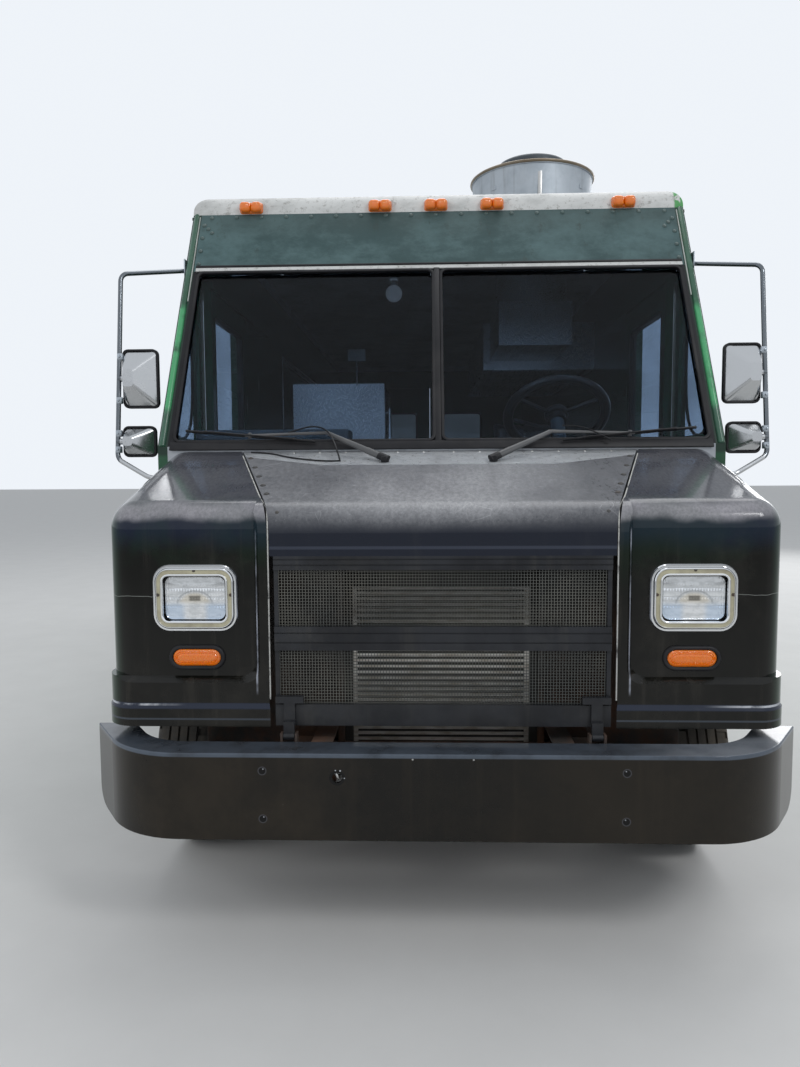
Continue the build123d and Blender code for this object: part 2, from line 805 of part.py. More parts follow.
# Fenders: what lies outside the seams, with the wheel arches and the lamp holes
for name, side in sides:
    with BuildPart() as fender:
        add(nose_shell.part)
        plan_slab(seam_plan(seam_gap / 2), 0, 3000, mode=Mode.SUBTRACT)
        block(0, -side * 1500, -4000, 0, 0, 3000, mode=Mode.SUBTRACT)
        rod((side * 900, front_axle, tyre_radius), (side * 1300, front_axle, tyre_radius), arch_radius,
            mode=Mode.SUBTRACT)
        with BuildSketch(Plane.XZ.offset(-nose_front + 100)) as lamp_hole:
            with Locations((side * headlamp_x, headlamp_z)):
                RectangleRounded(headlamp_width + 2 * lamp_fit, headlamp_height + 2 * lamp_fit, headlamp_corner)
        extrude(lamp_hole.sketch, amount=-220, mode=Mode.SUBTRACT)
    save(fender, f"fender_{name}")

# Hood: the middle of the nose above the grille, a thinner skin
with BuildPart() as hood:
    add(nose_form(0, 0, 0))
    add(nose_form(hood_skin, hood_skin, hood_skin, low=nose_bottom - 50), mode=Mode.SUBTRACT)
    with BuildPart(mode=Mode.PRIVATE) as hood_plan:
        plan_slab(seam_plan(-seam_gap / 2), hood_lip, 3000)
        plan_slab(cowl_plan(seam_gap), 0, 3000, mode=Mode.SUBTRACT)
    add(hood_plan.part, mode=Mode.INTERSECT)
save(hood, "hood")

# Cowl strip: the nose's last stretch below the windshield, fixed to the firewall
with BuildPart(mode=Mode.PRIVATE) as cowl_strip:
    add(nose_form(0, 0, 0))
    add(nose_form(cowl_skin, cowl_skin, cowl_skin, low=nose_bottom - 50), mode=Mode.SUBTRACT)
    with BuildPart(mode=Mode.PRIVATE) as strip_plan:
        plan_slab(seam_plan(-seam_gap / 2), nose_crease, 3000)
        plan_slab(cowl_plan(0), 0, 3000, mode=Mode.INTERSECT)
    add(strip_plan.part, mode=Mode.INTERSECT)

# Grille: three bars between two posts, hung on straps that reach the hinges
grille_half = seam_face - seam_gap
with BuildPart() as grille:
    for low, high in grille_bars:
        block(-grille_half, grille_half, nose_front, nose_front + grille_bar_depth, low, high)
    for low, high in grille_bars[:2]:
        for share in grille_grooves:
            groove = low + (high - low) * share
            block(-grille_half, grille_half, nose_front, nose_front + groove_depth, groove,
                  groove + groove_height, mode=Mode.SUBTRACT)
    for side in (1, -1):
        block(side * grille_half, side * (grille_half - grille_end_post), nose_front + 8,
              nose_front + grille_bar_depth, grille_bars[2][0], hood_lip)
        block(side * strap_x - strap_head_width / 2, side * strap_x + strap_head_width / 2,
              nose_front - strap_thickness, nose_front + 8, strap_top - strap_head_height, strap_top)
        block(side * strap_x - strap_width / 2, side * strap_x + strap_width / 2,
              nose_front - strap_thickness, nose_front, grille_bars[2][0] + 4, strap_top)
        block(side * strap_x - strap_width / 2, side * strap_x + strap_width / 2,
              hinge_axis_y - 4, nose_front, grille_bars[2][0] + 4, grille_bars[2][0] + 20)
        block(side * strap_x - strap_width / 2, side * strap_x + strap_width / 2,
              hinge_axis_y - 5, hinge_axis_y + 5, hinge_axis_z, grille_bars[2][0] + 20)
        rod((side * strap_x - strap_width / 2, hinge_axis_y, hinge_axis_z),
            (side * strap_x + strap_width / 2, hinge_axis_y, hinge_axis_z), hinge_barrel)
    for side in (1, -1):
        rod((side * strap_x - strap_width, hinge_axis_y, hinge_axis_z),
            (side * strap_x + strap_width, hinge_axis_y, hinge_axis_z), hinge_pin + running_fit,
            mode=Mode.SUBTRACT)
save(grille, "grille")


# Front bumper: a bent plate with a top and a bottom flange
def bumper_plan(inset, rear, low):
    """The bumper's plan at an inset from its face, back to the ends of its swept returns."""
    sweep_back = (bumper_half - bumper_bend_x) / (bumper_return - bumper_face)
    turn = atan2(1, sweep_back)
    face = bumper_face + inset
    bend = bumper_bend_x - inset * tan(turn / 2)
    end = bend + (rear - face) * sweep_back
    with BuildSketch(Plane.XY.offset(low), mode=Mode.PRIVATE) as plan:
        with BuildLine():
            Polyline((-end, rear), (-bend, face), (bend, face), (end, rear), close=True)
        make_face()
        fillet(plan.vertices().group_by(Axis.Y)[0], bumper_bend_radius - inset)
    return plan.sketch


bumper_low = bumper_top - bumper_height
with BuildPart() as front_bumper:
    extrude(bumper_plan(0, bumper_return, bumper_low), amount=bumper_height)
    fillet(front_bumper.faces().sort_by(Axis.Z)[-1].edges().filter_by(
        lambda e: e.center().Y < bumper_return - 1), bumper_edge_round)
    for inset, low, height in ((bumper_plate, bumper_low + bumper_plate, bumper_height - 2 * bumper_plate),
                               (bumper_flange, bumper_top - bumper_plate - 1, bumper_plate + 2),
                               (bumper_low_flange, bumper_low - 1, bumper_plate + 2)):
        extrude(bumper_plan(inset, bumper_return + 1, low), amount=height, mode=Mode.SUBTRACT)
    with BuildSketch(Plane.YZ.offset(-bumper_half - 10)) as end_cut:
        with Locations((bumper_return - bumper_end_round / 2, bumper_low + bumper_end_round / 2)):
            Rectangle(bumper_end_round + 2, bumper_end_round + 2)
        with Locations((bumper_return - bumper_end_round - 1, bumper_low + bumper_end_round + 1)):
            Circle(bumper_end_round, mode=Mode.SUBTRACT)
    extrude(end_cut.sketch, amount=2 * bumper_half + 20, mode=Mode.SUBTRACT)
    rod((tow_hole_x, bumper_face - 1, tow_hole_z), (tow_hole_x, bumper_face + 40, tow_hole_z),
        tow_hole_radius, mode=Mode.SUBTRACT)
    for x in (-plate_bolt_spacing / 2, plate_bolt_spacing / 2):
        rod((x, bumper_face - 1, plate_bolt_z), (x, bumper_face + 40, plate_bolt_z), plate_bolt_radius,
            mode=Mode.SUBTRACT)
save(front_bumper, "front_bumper")

# Floor: a slab with step wells, door pockets and boxes over the rear wheels
with BuildPart() as floor_deck:
    notch = cover_half - cover_skin
    right_edge = [(step_well_inner, toe_front), (step_well_inner, door_rear), (pocket_inner, door_rear),
                  (pocket_inner, pocket_rear), (inner_half, pocket_rear), (inner_half, body_rear - wall)]
    left_edge = [(-x, y) for x, y in reversed(right_edge)]
    plan_slab(right_edge + left_edge + [(-notch, toe_front), (-notch, cover_rear - cover_skin),
                                        (notch, cover_rear - cover_skin), (notch, toe_front)],
              rail_top, floor_top)
    house_inner = dual_inner - tyre_width / 2 - 30
    house_reach = rear_arch_radius
    house_top = tyre_radius * 2 + 90
    for side in (1, -1):
        block(side * (house_inner - 24), side * inner_half, rear_axle - house_reach - 24,
              rear_axle + house_reach + 24, rail_top, house_top + 24)
    for side in (1, -1):
        block(side * house_inner, side * inner_half, rear_axle - house_reach, rear_axle + house_reach,
              rail_top - 1, house_top, mode=Mode.SUBTRACT)
    for side in (1, -1):
        block(side * step_well_inner, side * pocket_inner, toe_front, door_rear, door_sill - 30, door_sill)
        block(side * (step_well_inner - 24), side * step_well_inner, toe_front, door_rear + 24,
              door_sill - 30, rail_top)
        block(side * (step_well_inner - 24), side * pocket_inner, door_rear, door_rear + 24,
              door_sill - 30, rail_top)
        block(side * step_well_inner, side * pocket_inner, toe_front, toe_front + 30, door_sill - 30,
              toe_top - wall)
        block(side * cover_half, side * step_well_inner, toe_front, toe_front + 30, rail_top, toe_top - wall)
save(floor_deck, "floor")

firewall_rear = cowl_front + wall

# Side walls: raked front edge, wheel arches, doorways, quarter windows and door tracks
wall_outline = [(cowl_front, skirt_bottom), (cowl_front, cowl_top), (windshield_y(roof_base), roof_base),
                (body_rear, roof_base), (body_rear, skirt_bottom)]
quarter_front_low = windshield_y(quarter_sill) + 90
quarter_front_high = windshield_y(door_window_head) + 90
quarter_points = [(quarter_front_low, quarter_sill), (quarter_rear, quarter_sill),
                  (quarter_rear, door_window_head), (quarter_front_high, door_window_head)]
track_low = door_head + door_lap + door_hang_gap
hatch_top = service_head + hatch_lap
hatch_axis_z = hatch_top + hatch_hinge_radius + 2
hatch_axis_x = -(half_width + hatch_hinge_radius + 2)
hatch_hinges = [service_front + (service_rear - service_front) * (i + 0.5) / hatch_hinge_count
                for i in range(hatch_hinge_count)]
hatch_pin = hatch_hinge_radius / 2.5
for name, side in sides:
    with BuildPart() as side_wall:
        side_slab(wall_outline, side * inner_half, side * half_width)
        for place, radius in ((front_axle, arch_radius), (rear_axle, rear_arch_radius)):
            rod((side * (inner_half - 10), place, tyre_radius), (side * (half_width + 10), place, tyre_radius),
                radius, mode=Mode.SUBTRACT)
        block(side * (inner_half - 10), side * (half_width + 10), door_front, door_rear, door_sill,
              door_head, mode=Mode.SUBTRACT)
        side_slab(quarter_points, side * (inner_half - 10), side * (half_width + 10), mode=Mode.SUBTRACT)
        block(side * (door_inner - 8), side * inner_half, door_front - door_lap,
              door_rear + door_travel + door_lap, track_low, track_low + door_track_height)
        if name == "right":
            block(side * (inner_half - 10), side * (half_width + 10), service_front, service_rear,
                  service_sill, service_head, mode=Mode.SUBTRACT)
            for place in hatch_hinges:
                for end in (-1, 1):
                    start = place + end * hatch_hinge_length / 4
                    stop = place + end * hatch_hinge_length / 2
                    rod((hatch_axis_x, start, hatch_axis_z), (hatch_axis_x, stop, hatch_axis_z),
                        hatch_hinge_radius)
                    block(side * half_width, hatch_axis_x, min(start, stop), max(start, stop),
                          hatch_axis_z, hatch_axis_z + hatch_hinge_radius)
                rod((hatch_axis_x, place - hatch_hinge_length / 2, hatch_axis_z),
                    (hatch_axis_x, place + hatch_hinge_length / 2, hatch_axis_z), hatch_pin)
            shelf_top = service_sill - hatch_lap - 40
            shelf_low = shelf_top - shelf_thickness
            block(-half_width, -half_width - shelf_depth, service_front, service_rear, shelf_low, shelf_top)
            for place in (service_front + 200, (service_front + service_rear) / 2, service_rear - 200):
                with BuildSketch(Plane.XZ.offset(-place), mode=Mode.PRIVATE) as gusset:
                    with BuildLine():
                        Polyline((-half_width, shelf_low), (-half_width, shelf_low - 200),
                                 (-half_width - shelf_depth + 60, shelf_low), close=True)
                    make_face()
                extrude(gusset.sketch, amount=8)
    save(side_wall, f"side_wall_{name}")

# Serving hatch outside the kerb side, hinged along its top
hatch_inner = -(half_width + hatch_gap)
with BuildPart() as serving_hatch:
    block(hatch_inner, hatch_inner - hatch_thickness, service_front - hatch_lap, service_rear + hatch_lap,
          service_sill - hatch_lap, hatch_top)
    middle_half = hatch_hinge_length / 4 - hinge_side_gap / 2
    for place in hatch_hinges:
        rod((hatch_axis_x, place - middle_half, hatch_axis_z), (hatch_axis_x, place + middle_half, hatch_axis_z),
            hatch_hinge_radius)
        block(hatch_inner, hatch_inner - 8, place - middle_half, place + middle_half, hatch_top - 4,
              hatch_axis_z)
    for place in hatch_hinges:
        rod((hatch_axis_x, place - hatch_hinge_length, hatch_axis_z),
            (hatch_axis_x, place + hatch_hinge_length, hatch_axis_z), hatch_pin + running_fit,
            mode=Mode.SUBTRACT)
save(serving_hatch, "serving_hatch")

# Roof: a shallow tray with rounded top edges
roof_front = windshield_y(roof_base)
with BuildPart() as roof:
    block(-half_width, half_width, roof_front, body_rear, roof_base, roof_top)
    fillet(roof.faces().sort_by(Axis.Z)[-1].edges(), roof_edge)
    block(-inner_half, inner_half, roof_front + wall + 8, body_rear - wall, roof_base - 1, roof_top - roof_skin,
          mode=Mode.SUBTRACT)
    rod((fan_x, fan_y, roof_base), (fan_x, fan_y, roof_top + 1), duct_radius, mode=Mode.SUBTRACT)
save(roof, "roof")

# Windshield frame and header: one raked panel with two panes cut out
with BuildPart() as windshield_frame:
    side_slab([(cowl_front, cowl_top), (roof_front, roof_base), (roof_front + wall_across, roof_base),
               (cowl_front + wall_across, cowl_top)], -inner_half, inner_half)
    frame_plane = Plane(origin=(0, cowl_front, cowl_top), x_dir=(1, 0, 0),
                        z_dir=(0, -cos(radians(windshield_rake)), sin(radians(windshield_rake))))
    pane_low = glass_sill
    pane_high = (header_base - cowl_top) / cos(radians(windshield_rake)) - 16
    pane_inner = glass_divider / 2
    pane_outer = inner_half - glass_side_margin
    with BuildSketch(frame_plane.offset(20)) as panes:
        for side in (1, -1):
            with Locations((side * (pane_inner + pane_outer) / 2, (pane_low + pane_high) / 2)):
                RectangleRounded(pane_outer - pane_inner, pane_high - pane_low, 30)
    extrude(panes.sketch, amount=-120, mode=Mode.SUBTRACT)
save(windshield_frame, "windshield_frame")

# Cab glass: the two windshield panes and the quarter panes
with BuildPart() as cab_glass:
    with BuildSketch(frame_plane.offset(-10)) as pane_shapes:
        for side in (1, -1):
            with Locations((side * (pane_inner + pane_outer) / 2, (pane_low + pane_high) / 2)):
                RectangleRounded(pane_outer - pane_inner - 2 * pane_clearance,
                                 pane_high - pane_low - 2 * pane_clearance, 30)
    extrude(pane_shapes.sketch, amount=-pane_thickness)
    for side in (1, -1):
        with BuildSketch(Plane.YZ.offset(side * (inner_half + 14)), mode=Mode.PRIVATE) as pane:
            with BuildLine():
                Polyline(*quarter_points, close=True)
            make_face()
            offset(amount=-pane_clearance)
        extrude(pane.sketch, amount=side * pane_thickness)
save(cab_glass, "cab_glass")

# Firewall with its cowl strip, the raised toe board and the engine cover
with BuildPart() as firewall:
    for side in (1, -1):
        plan_slab([(side * x, y) for x, y in (
            (cover_half - cover_skin, firewall_rear), (inner_half, firewall_rear),
            (inner_half, door_front - 44), (pocket_inner, door_front - 44),
            (pocket_inner, toe_front + 30), (cover_half - cover_skin, toe_front + 30))],
            toe_top - wall, toe_top)
    block(-cover_half, cover_half, firewall_rear, cover_rear, toe_top - wall, cover_top)
    block(-cover_half, cover_half, toe_front + 30, cover_rear, floor_top, toe_top)
    inner = cover_half - cover_skin
    block(-inner, inner, firewall_rear - 1, cover_rear - cover_skin, floor_top - 1, cover_top - cover_skin,
          mode=Mode.SUBTRACT)
    block(-2000, 2000, firewall_rear - 1, toe_front + 30, 0, toe_top - wall, mode=Mode.SUBTRACT)
    block(-inner_half, inner_half, cowl_front, firewall_rear, toe_top - wall, cowl_top)
    block(-inner, inner, cowl_front - 1, firewall_rear + 1, toe_top - wall - 1, cover_top - cover_skin,
          mode=Mode.SUBTRACT)
    add(cowl_strip.part)
save(firewall, "firewall")

# Cab doors: full-height panels that slide back inside the side walls
for name, side in sides:
    with BuildPart() as cab_door:
        block(side * door_inner, side * door_outer, door_front - door_lap, door_rear + door_lap,
              door_sill - door_lap, door_head + door_lap)
        block(side * (door_inner - 10), side * (door_outer + 10), door_front + door_window_margin - 18,
              door_rear - door_window_margin + 18, door_window_sill, door_window_head, mode=Mode.SUBTRACT)
    save(cab_door, f"cab_door_{name}")
    with BuildPart() as door_glass:
        pane_x = side * (door_inner + (door_thickness - pane_thickness) / 2)
        block(pane_x, pane_x + side * pane_thickness, door_front + door_window_margin - 18 + pane_clearance,
              door_rear - door_window_margin + 18 - pane_clearance, door_window_sill + pane_clearance,
              door_window_head - pane_clearance)
    save(door_glass, f"door_glass_{name}")

# Rear frame around the doorway
rear_hinge_x = rear_door_half + rear_door_lap + rear_hinge_radius + 3
rear_door_front = body_rear + rear_door_gap
rear_axis_y = rear_door_front + rear_door_thickness + 2
rear_pin = rear_hinge_radius / 2.5
with BuildPart() as rear_frame:
    block(-inner_half, inner_half, body_rear - wall, body_rear, skirt_bottom, roof_base)
    block(-rear_door_half, rear_door_half, body_rear - wall - 1, body_rear + 1, rear_door_sill,
          rear_door_head, mode=Mode.SUBTRACT)
    for side in (1, -1):
        for height in rear_hinge_heights:
            axis = (side * rear_hinge_x, rear_axis_y)
            for end in (-1, 1):
                start = height + end * rear_hinge_length / 4
                stop = height + end * rear_hinge_length / 2
                rod((*axis, start), (*axis, stop), rear_hinge_radius)
                block(side * rear_hinge_x, side * (rear_hinge_x + rear_hinge_radius), body_rear, rear_axis_y,
                      min(start, stop), max(start, stop))
            rod((*axis, height - rear_hinge_length / 2), (*axis, height + rear_hinge_length / 2), rear_pin)
save(rear_frame, "rear_frame")

# Rear doors outside the frame, each with its middle hinge knuckles and a window
rear_middle_half = rear_hinge_length / 4 - hinge_side_gap / 2
for name, side in sides:
    with BuildPart() as rear_door:
        block(side * rear_door_gap / 2, side * (rear_door_half + rear_door_lap), rear_door_front,
              rear_door_front + rear_door_thickness, rear_door_sill - rear_door_lap,
              rear_door_head + rear_door_lap)
        middle_x = side * (rear_door_half + rear_door_gap) / 2
        block(middle_x - rear_window_width / 2, middle_x + rear_window_width / 2, rear_door_front - 1,
              rear_door_front + rear_door_thickness + 1, rear_window_low, rear_window_high,
              mode=Mode.SUBTRACT)
        for height in rear_hinge_heights:
            low = height - rear_middle_half
            high = height + rear_middle_half
            rod((side * rear_hinge_x, rear_axis_y, low), (side * rear_hinge_x, rear_axis_y, high),
                rear_hinge_radius)
            block(side * (rear_door_half + rear_door_lap - 40), side * rear_hinge_x,
                  rear_door_front + rear_door_thickness, rear_axis_y + 6, low, high)
        for height in rear_hinge_heights:
            rod((side * rear_hinge_x, rear_axis_y, height - rear_hinge_length),
                (side * rear_hinge_x, rear_axis_y, height + rear_hinge_length), rear_pin + running_fit,
                mode=Mode.SUBTRACT)
    save(rear_door, f"rear_door_{name}")
    with BuildPart() as rear_glass:
        block(middle_x - rear_window_width / 2 + pane_clearance, middle_x + rear_window_width / 2 - pane_clearance,
              rear_door_front + 14, rear_door_front + 14 + pane_thickness, rear_window_low + pane_clearance,
              rear_window_high - pane_clearance)
    save(rear_glass, f"rear_door_glass_{name}")

# Rear step with the tow receiver
with BuildPart() as rear_step:
    block(-step_half, step_half, body_rear, step_end, step_top - 12, step_top)
    block(-step_half, step_half, step_end - 12, step_end, step_top - step_height, step_top)
    for side in (1, -1):
        block(side * (step_half - 12), side * step_half, body_rear, step_end, step_top - step_height, step_top)
    block(-receiver_outer / 2, receiver_outer / 2, step_end - receiver_length, step_end,
          receiver_z - receiver_outer / 2, step_top)
    block(-receiver_inner / 2, receiver_inner / 2, step_end - receiver_length + 20, step_end + 1,
          receiver_z - receiver_inner / 2, receiver_z + receiver_inner / 2, mode=Mode.SUBTRACT)
    rod((-receiver_outer, step_end - receiver_pin_back, receiver_z),
        (receiver_outer, step_end - receiver_pin_back, receiver_z), receiver_pin_radius, mode=Mode.SUBTRACT)
save(rear_step, "rear_step")

# Headlamps: a bezel on each lamp panel and a sealed beam inside it
panel_face = nose_front + lamp_recess
with BuildPart() as headlamp_bezels:
    for side in (1, -1):
        with BuildSketch(Plane.XZ.offset(-panel_face)) as bezel:
            with Locations((side * headlamp_x, headlamp_z)):
                RectangleRounded(bezel_width, bezel_height, bezel_corner)
                RectangleRounded(headlamp_width + 2 * lamp_fit, headlamp_height + 2 * lamp_fit,
                                 headlamp_corner, mode=Mode.SUBTRACT)
        extrude(bezel.sketch, amount=bezel_proud)
save(headlamp_bezels, "headlamp_bezels")

with BuildPart() as headlamp_lenses:
    for side in (1, -1):
        with BuildSketch(Plane.XZ.offset(-panel_face + lens_proud)) as lens:
            with Locations((side * headlamp_x, headlamp_z)):
                RectangleRounded(headlamp_width, headlamp_height, headlamp_corner)
        extrude(lens.sketch, amount=-lens_depth)
save(headlamp_lenses, "headlamp_lenses")

# Turn lamps, each an amber slot in a rubber ring, and the clearance lamps on the roof's front edge
with BuildPart() as lamp_grommets:
    for side in (1, -1):
        with BuildSketch(Plane.XZ.offset(-panel_face)) as ring:
            with Locations((side * turn_x, turn_z)):
                SlotOverall(grommet_width, grommet_height)
                SlotOverall(turn_width + 2 * lamp_fit, turn_height + 2 * lamp_fit, mode=Mode.SUBTRACT)
        extrude(ring.sketch, amount=grommet_proud)
save(lamp_grommets, "lamp_grommets")

with BuildPart() as signal_lamps:
    for side in (1, -1):
        with BuildSketch(Plane.XZ.offset(-panel_face)) as slot:
            with Locations((side * turn_x, turn_z)):
                SlotOverall(turn_width, turn_height)
        extrude(slot.sketch, amount=turn_proud)
        with BuildSketch(Plane.YZ.offset(side * panel_side)) as marker:
            with Locations((side_marker_y, side_marker_z)):
                SlotOverall(side_marker_length, side_marker_height)
        extrude(marker.sketch, amount=side * side_marker_proud)
    for x in clearance_lamp_x:
        block(x - clearance_lamp_width / 2, x + clearance_lamp_width / 2, roof_front - clearance_lamp_proud,
              roof_front + 14, clearance_lamp_z - clearance_lamp_height / 2,
              clearance_lamp_z + clearance_lamp_height / 2)
    add(roof.part, mode=Mode.SUBTRACT)
save(signal_lamps, "signal_lamps")

# Tail lamps beside the rear doors
with BuildPart() as tail_lamps:
    for side in (1, -1):
        for height in tail_lamp_heights:
            rod((side * tail_lamp_x, body_rear, height), (side * tail_lamp_x, body_rear + tail_lamp_proud, height),
                tail_lamp_radius)
    for x in rear_marker_x:
        block(x - rear_marker_length / 2, x + rear_marker_length / 2, body_rear, body_rear + tail_lamp_proud,
              rear_marker_z - rear_marker_height / 2, rear_marker_z + rear_marker_height / 2)
save(tail_lamps, "tail_lamps")

# Mirrors: a bent tube from the header down to the fender, with two heads
arm_top = (half_width, windshield_y(header_base) + 30, header_base + 10)
arm_out_y = windshield_y(2100) - 60
with BuildPart() as mirrors:
    for side in (1, -1):
        tube_path = [(side * (half_width - 2), arm_top[1], arm_top[2]),
                     (side * mirror_tube_x, arm_out_y + 60, header_base - 62),
                     (side * mirror_tube_x, arm_out_y - 40, 1640),
                     (side * (half_width + 60), cowl_front + 60, 1560),
                     (side * (half_width - 2), cowl_front + 90, 1560)]
        with BuildLine() as tube_line:
            FilletPolyline(*tube_path, radius=45)
        first = Vector(*tube_path[1]) - Vector(*tube_path[0])
        with BuildSketch(Plane(origin=tube_path[0], z_dir=first)) as tube_section:
            Circle(mirror_tube)
        sweep(tube_section.sketch, path=tube_line.line)
        for low, high, width in mirror_rows:
            middle = (low + high) / 2
            share = (middle - tube_path[2][2]) / (tube_path[1][2] - tube_path[2][2])
            tube_y = tube_path[2][1] + (tube_path[1][1] - tube_path[2][1]) * share
            back_y = tube_y + mirror_plate
            tip_x = side * (mirror_head_x + width / 4)
            with BuildSketch(Plane.XZ.offset(-back_y - mirror_plate)) as outline:
                with Locations((side * mirror_head_x, middle)):
                    RectangleRounded(width, high - low, 24)
            extrude(outline.sketch, amount=mirror_plate)
            with BuildSketch(Plane.XZ.offset(-back_y), mode=Mode.PRIVATE) as wide:
                with Locations((side * mirror_head_x, middle)):
                    RectangleRounded(width - 8, high - low - 8, 20)
            with BuildSketch(Plane.XZ.offset(-back_y + mirror_back), mode=Mode.PRIVATE) as tip:
                with Locations((tip_x, middle)):
                    RectangleRounded(width * 0.3, (high - low) * 0.3, 14)
            loft([wide.sketch, tip.sketch])
            rod((tip_x, back_y - mirror_back / 2, middle), (side * mirror_tube_x, tube_y, middle), 13)
    for side in (1, -1):
        block(side * inner_half, side * half_width, -6000, 6000, 0, 4000, mode=Mode.SUBTRACT)
save(mirrors, "mirrors")

# Wipers: an arm from each pivot on the cowl strip over a knee to the middle of its blade
with BuildPart() as wipers:
    pivot_y = cowl_front - cowl_strip_middle + wiper_pivot_back
    pivot_z = nose_cowl - (cowl_front - pivot_y) * nose_pitch
    knee_y = windshield_y(wiper_knee_z) - wiper_stand_off - 6
    for side in (1, -1):
        pivot = (side * wiper_pivot_x, pivot_y, pivot_z + 14)
        knee = (side * wiper_knee_x, knee_y, wiper_knee_z)
        inner, outer = (Vector(side * x, windshield_y(z) - wiper_stand_off, z)
                        for x, z in zip(wiper_blade_x, wiper_blade_z))
        rod((side * wiper_pivot_x, pivot_y, pivot_z - cowl_skin / 2), pivot, 11)
        rod(pivot, knee, 8)
        rod(knee, (inner + outer) / 2, 6)
        rod(inner, outer, 8)
    add(firewall.part, mode=Mode.SUBTRACT)
save(wipers, "wipers")

# Exhaust fan on the roof: curb, wind band and motor dome; the blower turns inside
band_low = roof_top + fan_curb_height
with BuildPart() as exhaust_fan:
    half = fan_curb / 2
    block(fan_x - half, fan_x + half, fan_y - half, fan_y + half, roof_top, band_low)
    with BuildSketch(Plane(origin=(fan_x, fan_y, 0), x_dir=(1, 0, 0), z_dir=(0, -1, 0))) as band:
        with BuildLine():
            lip = fan_rim_top - fan_bead
            inner_lip = fan_radius - fan_bead - fan_band_plate
            Polyline((0, band_low), (fan_band_base, band_low), (fan_radius - fan_bead, lip - fan_bead),
                     (fan_radius, lip - fan_bead), (fan_radius, fan_rim_top), (inner_lip, fan_rim_top),
                     (fan_band_base - fan_band_plate, band_low + fan_band_plate),
                     (0, band_low + fan_band_plate), close=True)
        make_face()
    revolve(band.sketch, axis=Axis((fan_x, fan_y, 0), (0, 0, 1)))
    rod((fan_x, fan_y, roof_top - 1), (fan_x, fan_y, band_low + 10), duct_radius, mode=Mode.SUBTRACT)
    motor_low = fan_rim_top - 130
    with BuildPart(mode=Mode.PRIVATE) as cap:
        rod((fan_x, fan_y, fan_dome_top - fan_cap_height), (fan_x, fan_y, fan_dome_top), fan_cap_radius)
        fillet(cap.edges().group_by(Axis.Z)[-1], fan_cap_round)
    rod((fan_x, fan_y, motor_low), (fan_x, fan_y, fan_dome_top - fan_cap_height + 1), fan_motor_radius)
    add(cap.part)
    for turn in range(4):
        with Locations(Location((fan_x, fan_y, fan_rim_top - 112), (0, 0, 45 + 90 * turn))):
            with Locations(((fan_radius + fan_motor_radius) / 2 - 8, 0, 0)):
                Box(fan_radius - fan_motor_radius, 30, 24)
    rod((fan_x, fan_y, band_low + 60), (fan_x, fan_y, fan_rim_top - 130), 12)
save(exhaust_fan, "exhaust_fan")

with BuildPart() as fan_wheel:
    wheel_low = band_low + 40
    rod((fan_x, fan_y, wheel_low), (fan_x, fan_y, wheel_low + 6), fan_wheel_radius)
    rod((fan_x, fan_y, wheel_low), (fan_x, fan_y, wheel_low + 60), 40)
    for turn in range(8):
        with Locations(Location((fan_x, fan_y, wheel_low + 50), (0, 0, 45 * turn))):
            with Locations((fan_wheel_radius * 0.62, 0, 0)):
                Box(fan_wheel_radius * 0.6, 6, 96)
    rod((fan_x, fan_y, wheel_low - 1), (fan_x, fan_y, wheel_low + 200), 12 + running_fit, mode=Mode.SUBTRACT)
save(fan_wheel, "fan_wheel")

# Dashboard: the shelf below the windshield, the instrument hood and the steering column
dash_top = 1560
with BuildPart() as dashboard:
    side_slab([(firewall_rear, 1290), (firewall_rear, dash_top), (firewall_rear + 170, dash_top),
               (firewall_rear + 250, dash_top - 90), (firewall_rear + 220, 1290)], -inner_half + 60,
              inner_half - 60)
    block(-inner_half + 80, -cover_half, firewall_rear + 100, firewall_rear + 300, dash_top - 100, dash_top + 200)
    tilt = radians(wheel_tilt)
    axis_dir = Vector(0, sin(tilt), cos(tilt))
    wheel_point = Vector(*wheel_centre)
    column_end = wheel_point - axis_dir * 40
    rod(tuple(column_end - axis_dir * 430), tuple(column_end), 30)
    rod(tuple(column_end), tuple(wheel_point + axis_dir * 6), 10)
save(dashboard, "dashboard")

with BuildPart() as steering_wheel:
    wheel_plane = Plane(origin=wheel_point, x_dir=(1, 0, 0), z_dir=axis_dir)
    with BuildSketch(Plane(origin=wheel_point, x_dir=(1, 0, 0), z_dir=wheel_plane.y_dir)) as rim_section:
        with Locations((wheel_rim_radius - 15, 0)):
            Circle(15)
    revolve(rim_section.sketch, axis=Axis(wheel_point, axis_dir))
    rod(tuple(wheel_point - axis_dir * 38), tuple(wheel_point + axis_dir * 16), 42)
    for turn in (90, 210, 330):
        angle = radians(turn)
        out = wheel_plane.x_dir * cos(angle) + wheel_plane.y_dir * sin(angle)
        rod(tuple(wheel_point + out * 30), tuple(wheel_point + out * (wheel_rim_radius - 14)), 9)
    rod(tuple(wheel_point - axis_dir * 60), tuple(wheel_point + axis_dir * 7), 10 + running_fit,
        mode=Mode.SUBTRACT)
save(steering_wheel, "steering_wheel")

# Driver's seat on its pedestal
with BuildPart() as seat_pedestal:
    block(seat_x - 180, seat_x + 180, seat_y - 200, seat_y + 200, floor_top, floor_top + 330)
save(seat_pedestal, "seat_pedestal")

with BuildPart() as seat_cushions:
    block(seat_x - 250, seat_x + 230, seat_y - 260, seat_y + 240, floor_top + 330.3, floor_top + 460)
    fillet(seat_cushions.edges().filter_by(Axis.Z), 60)
    side_slab([(seat_y + 140, floor_top + 440), (seat_y + 240, floor_top + 440), (seat_y + 330, floor_top + 1130),
               (seat_y + 240, floor_top + 1130)], seat_x - 240, seat_x + 220)
save(seat_cushions, "seat_cushions")

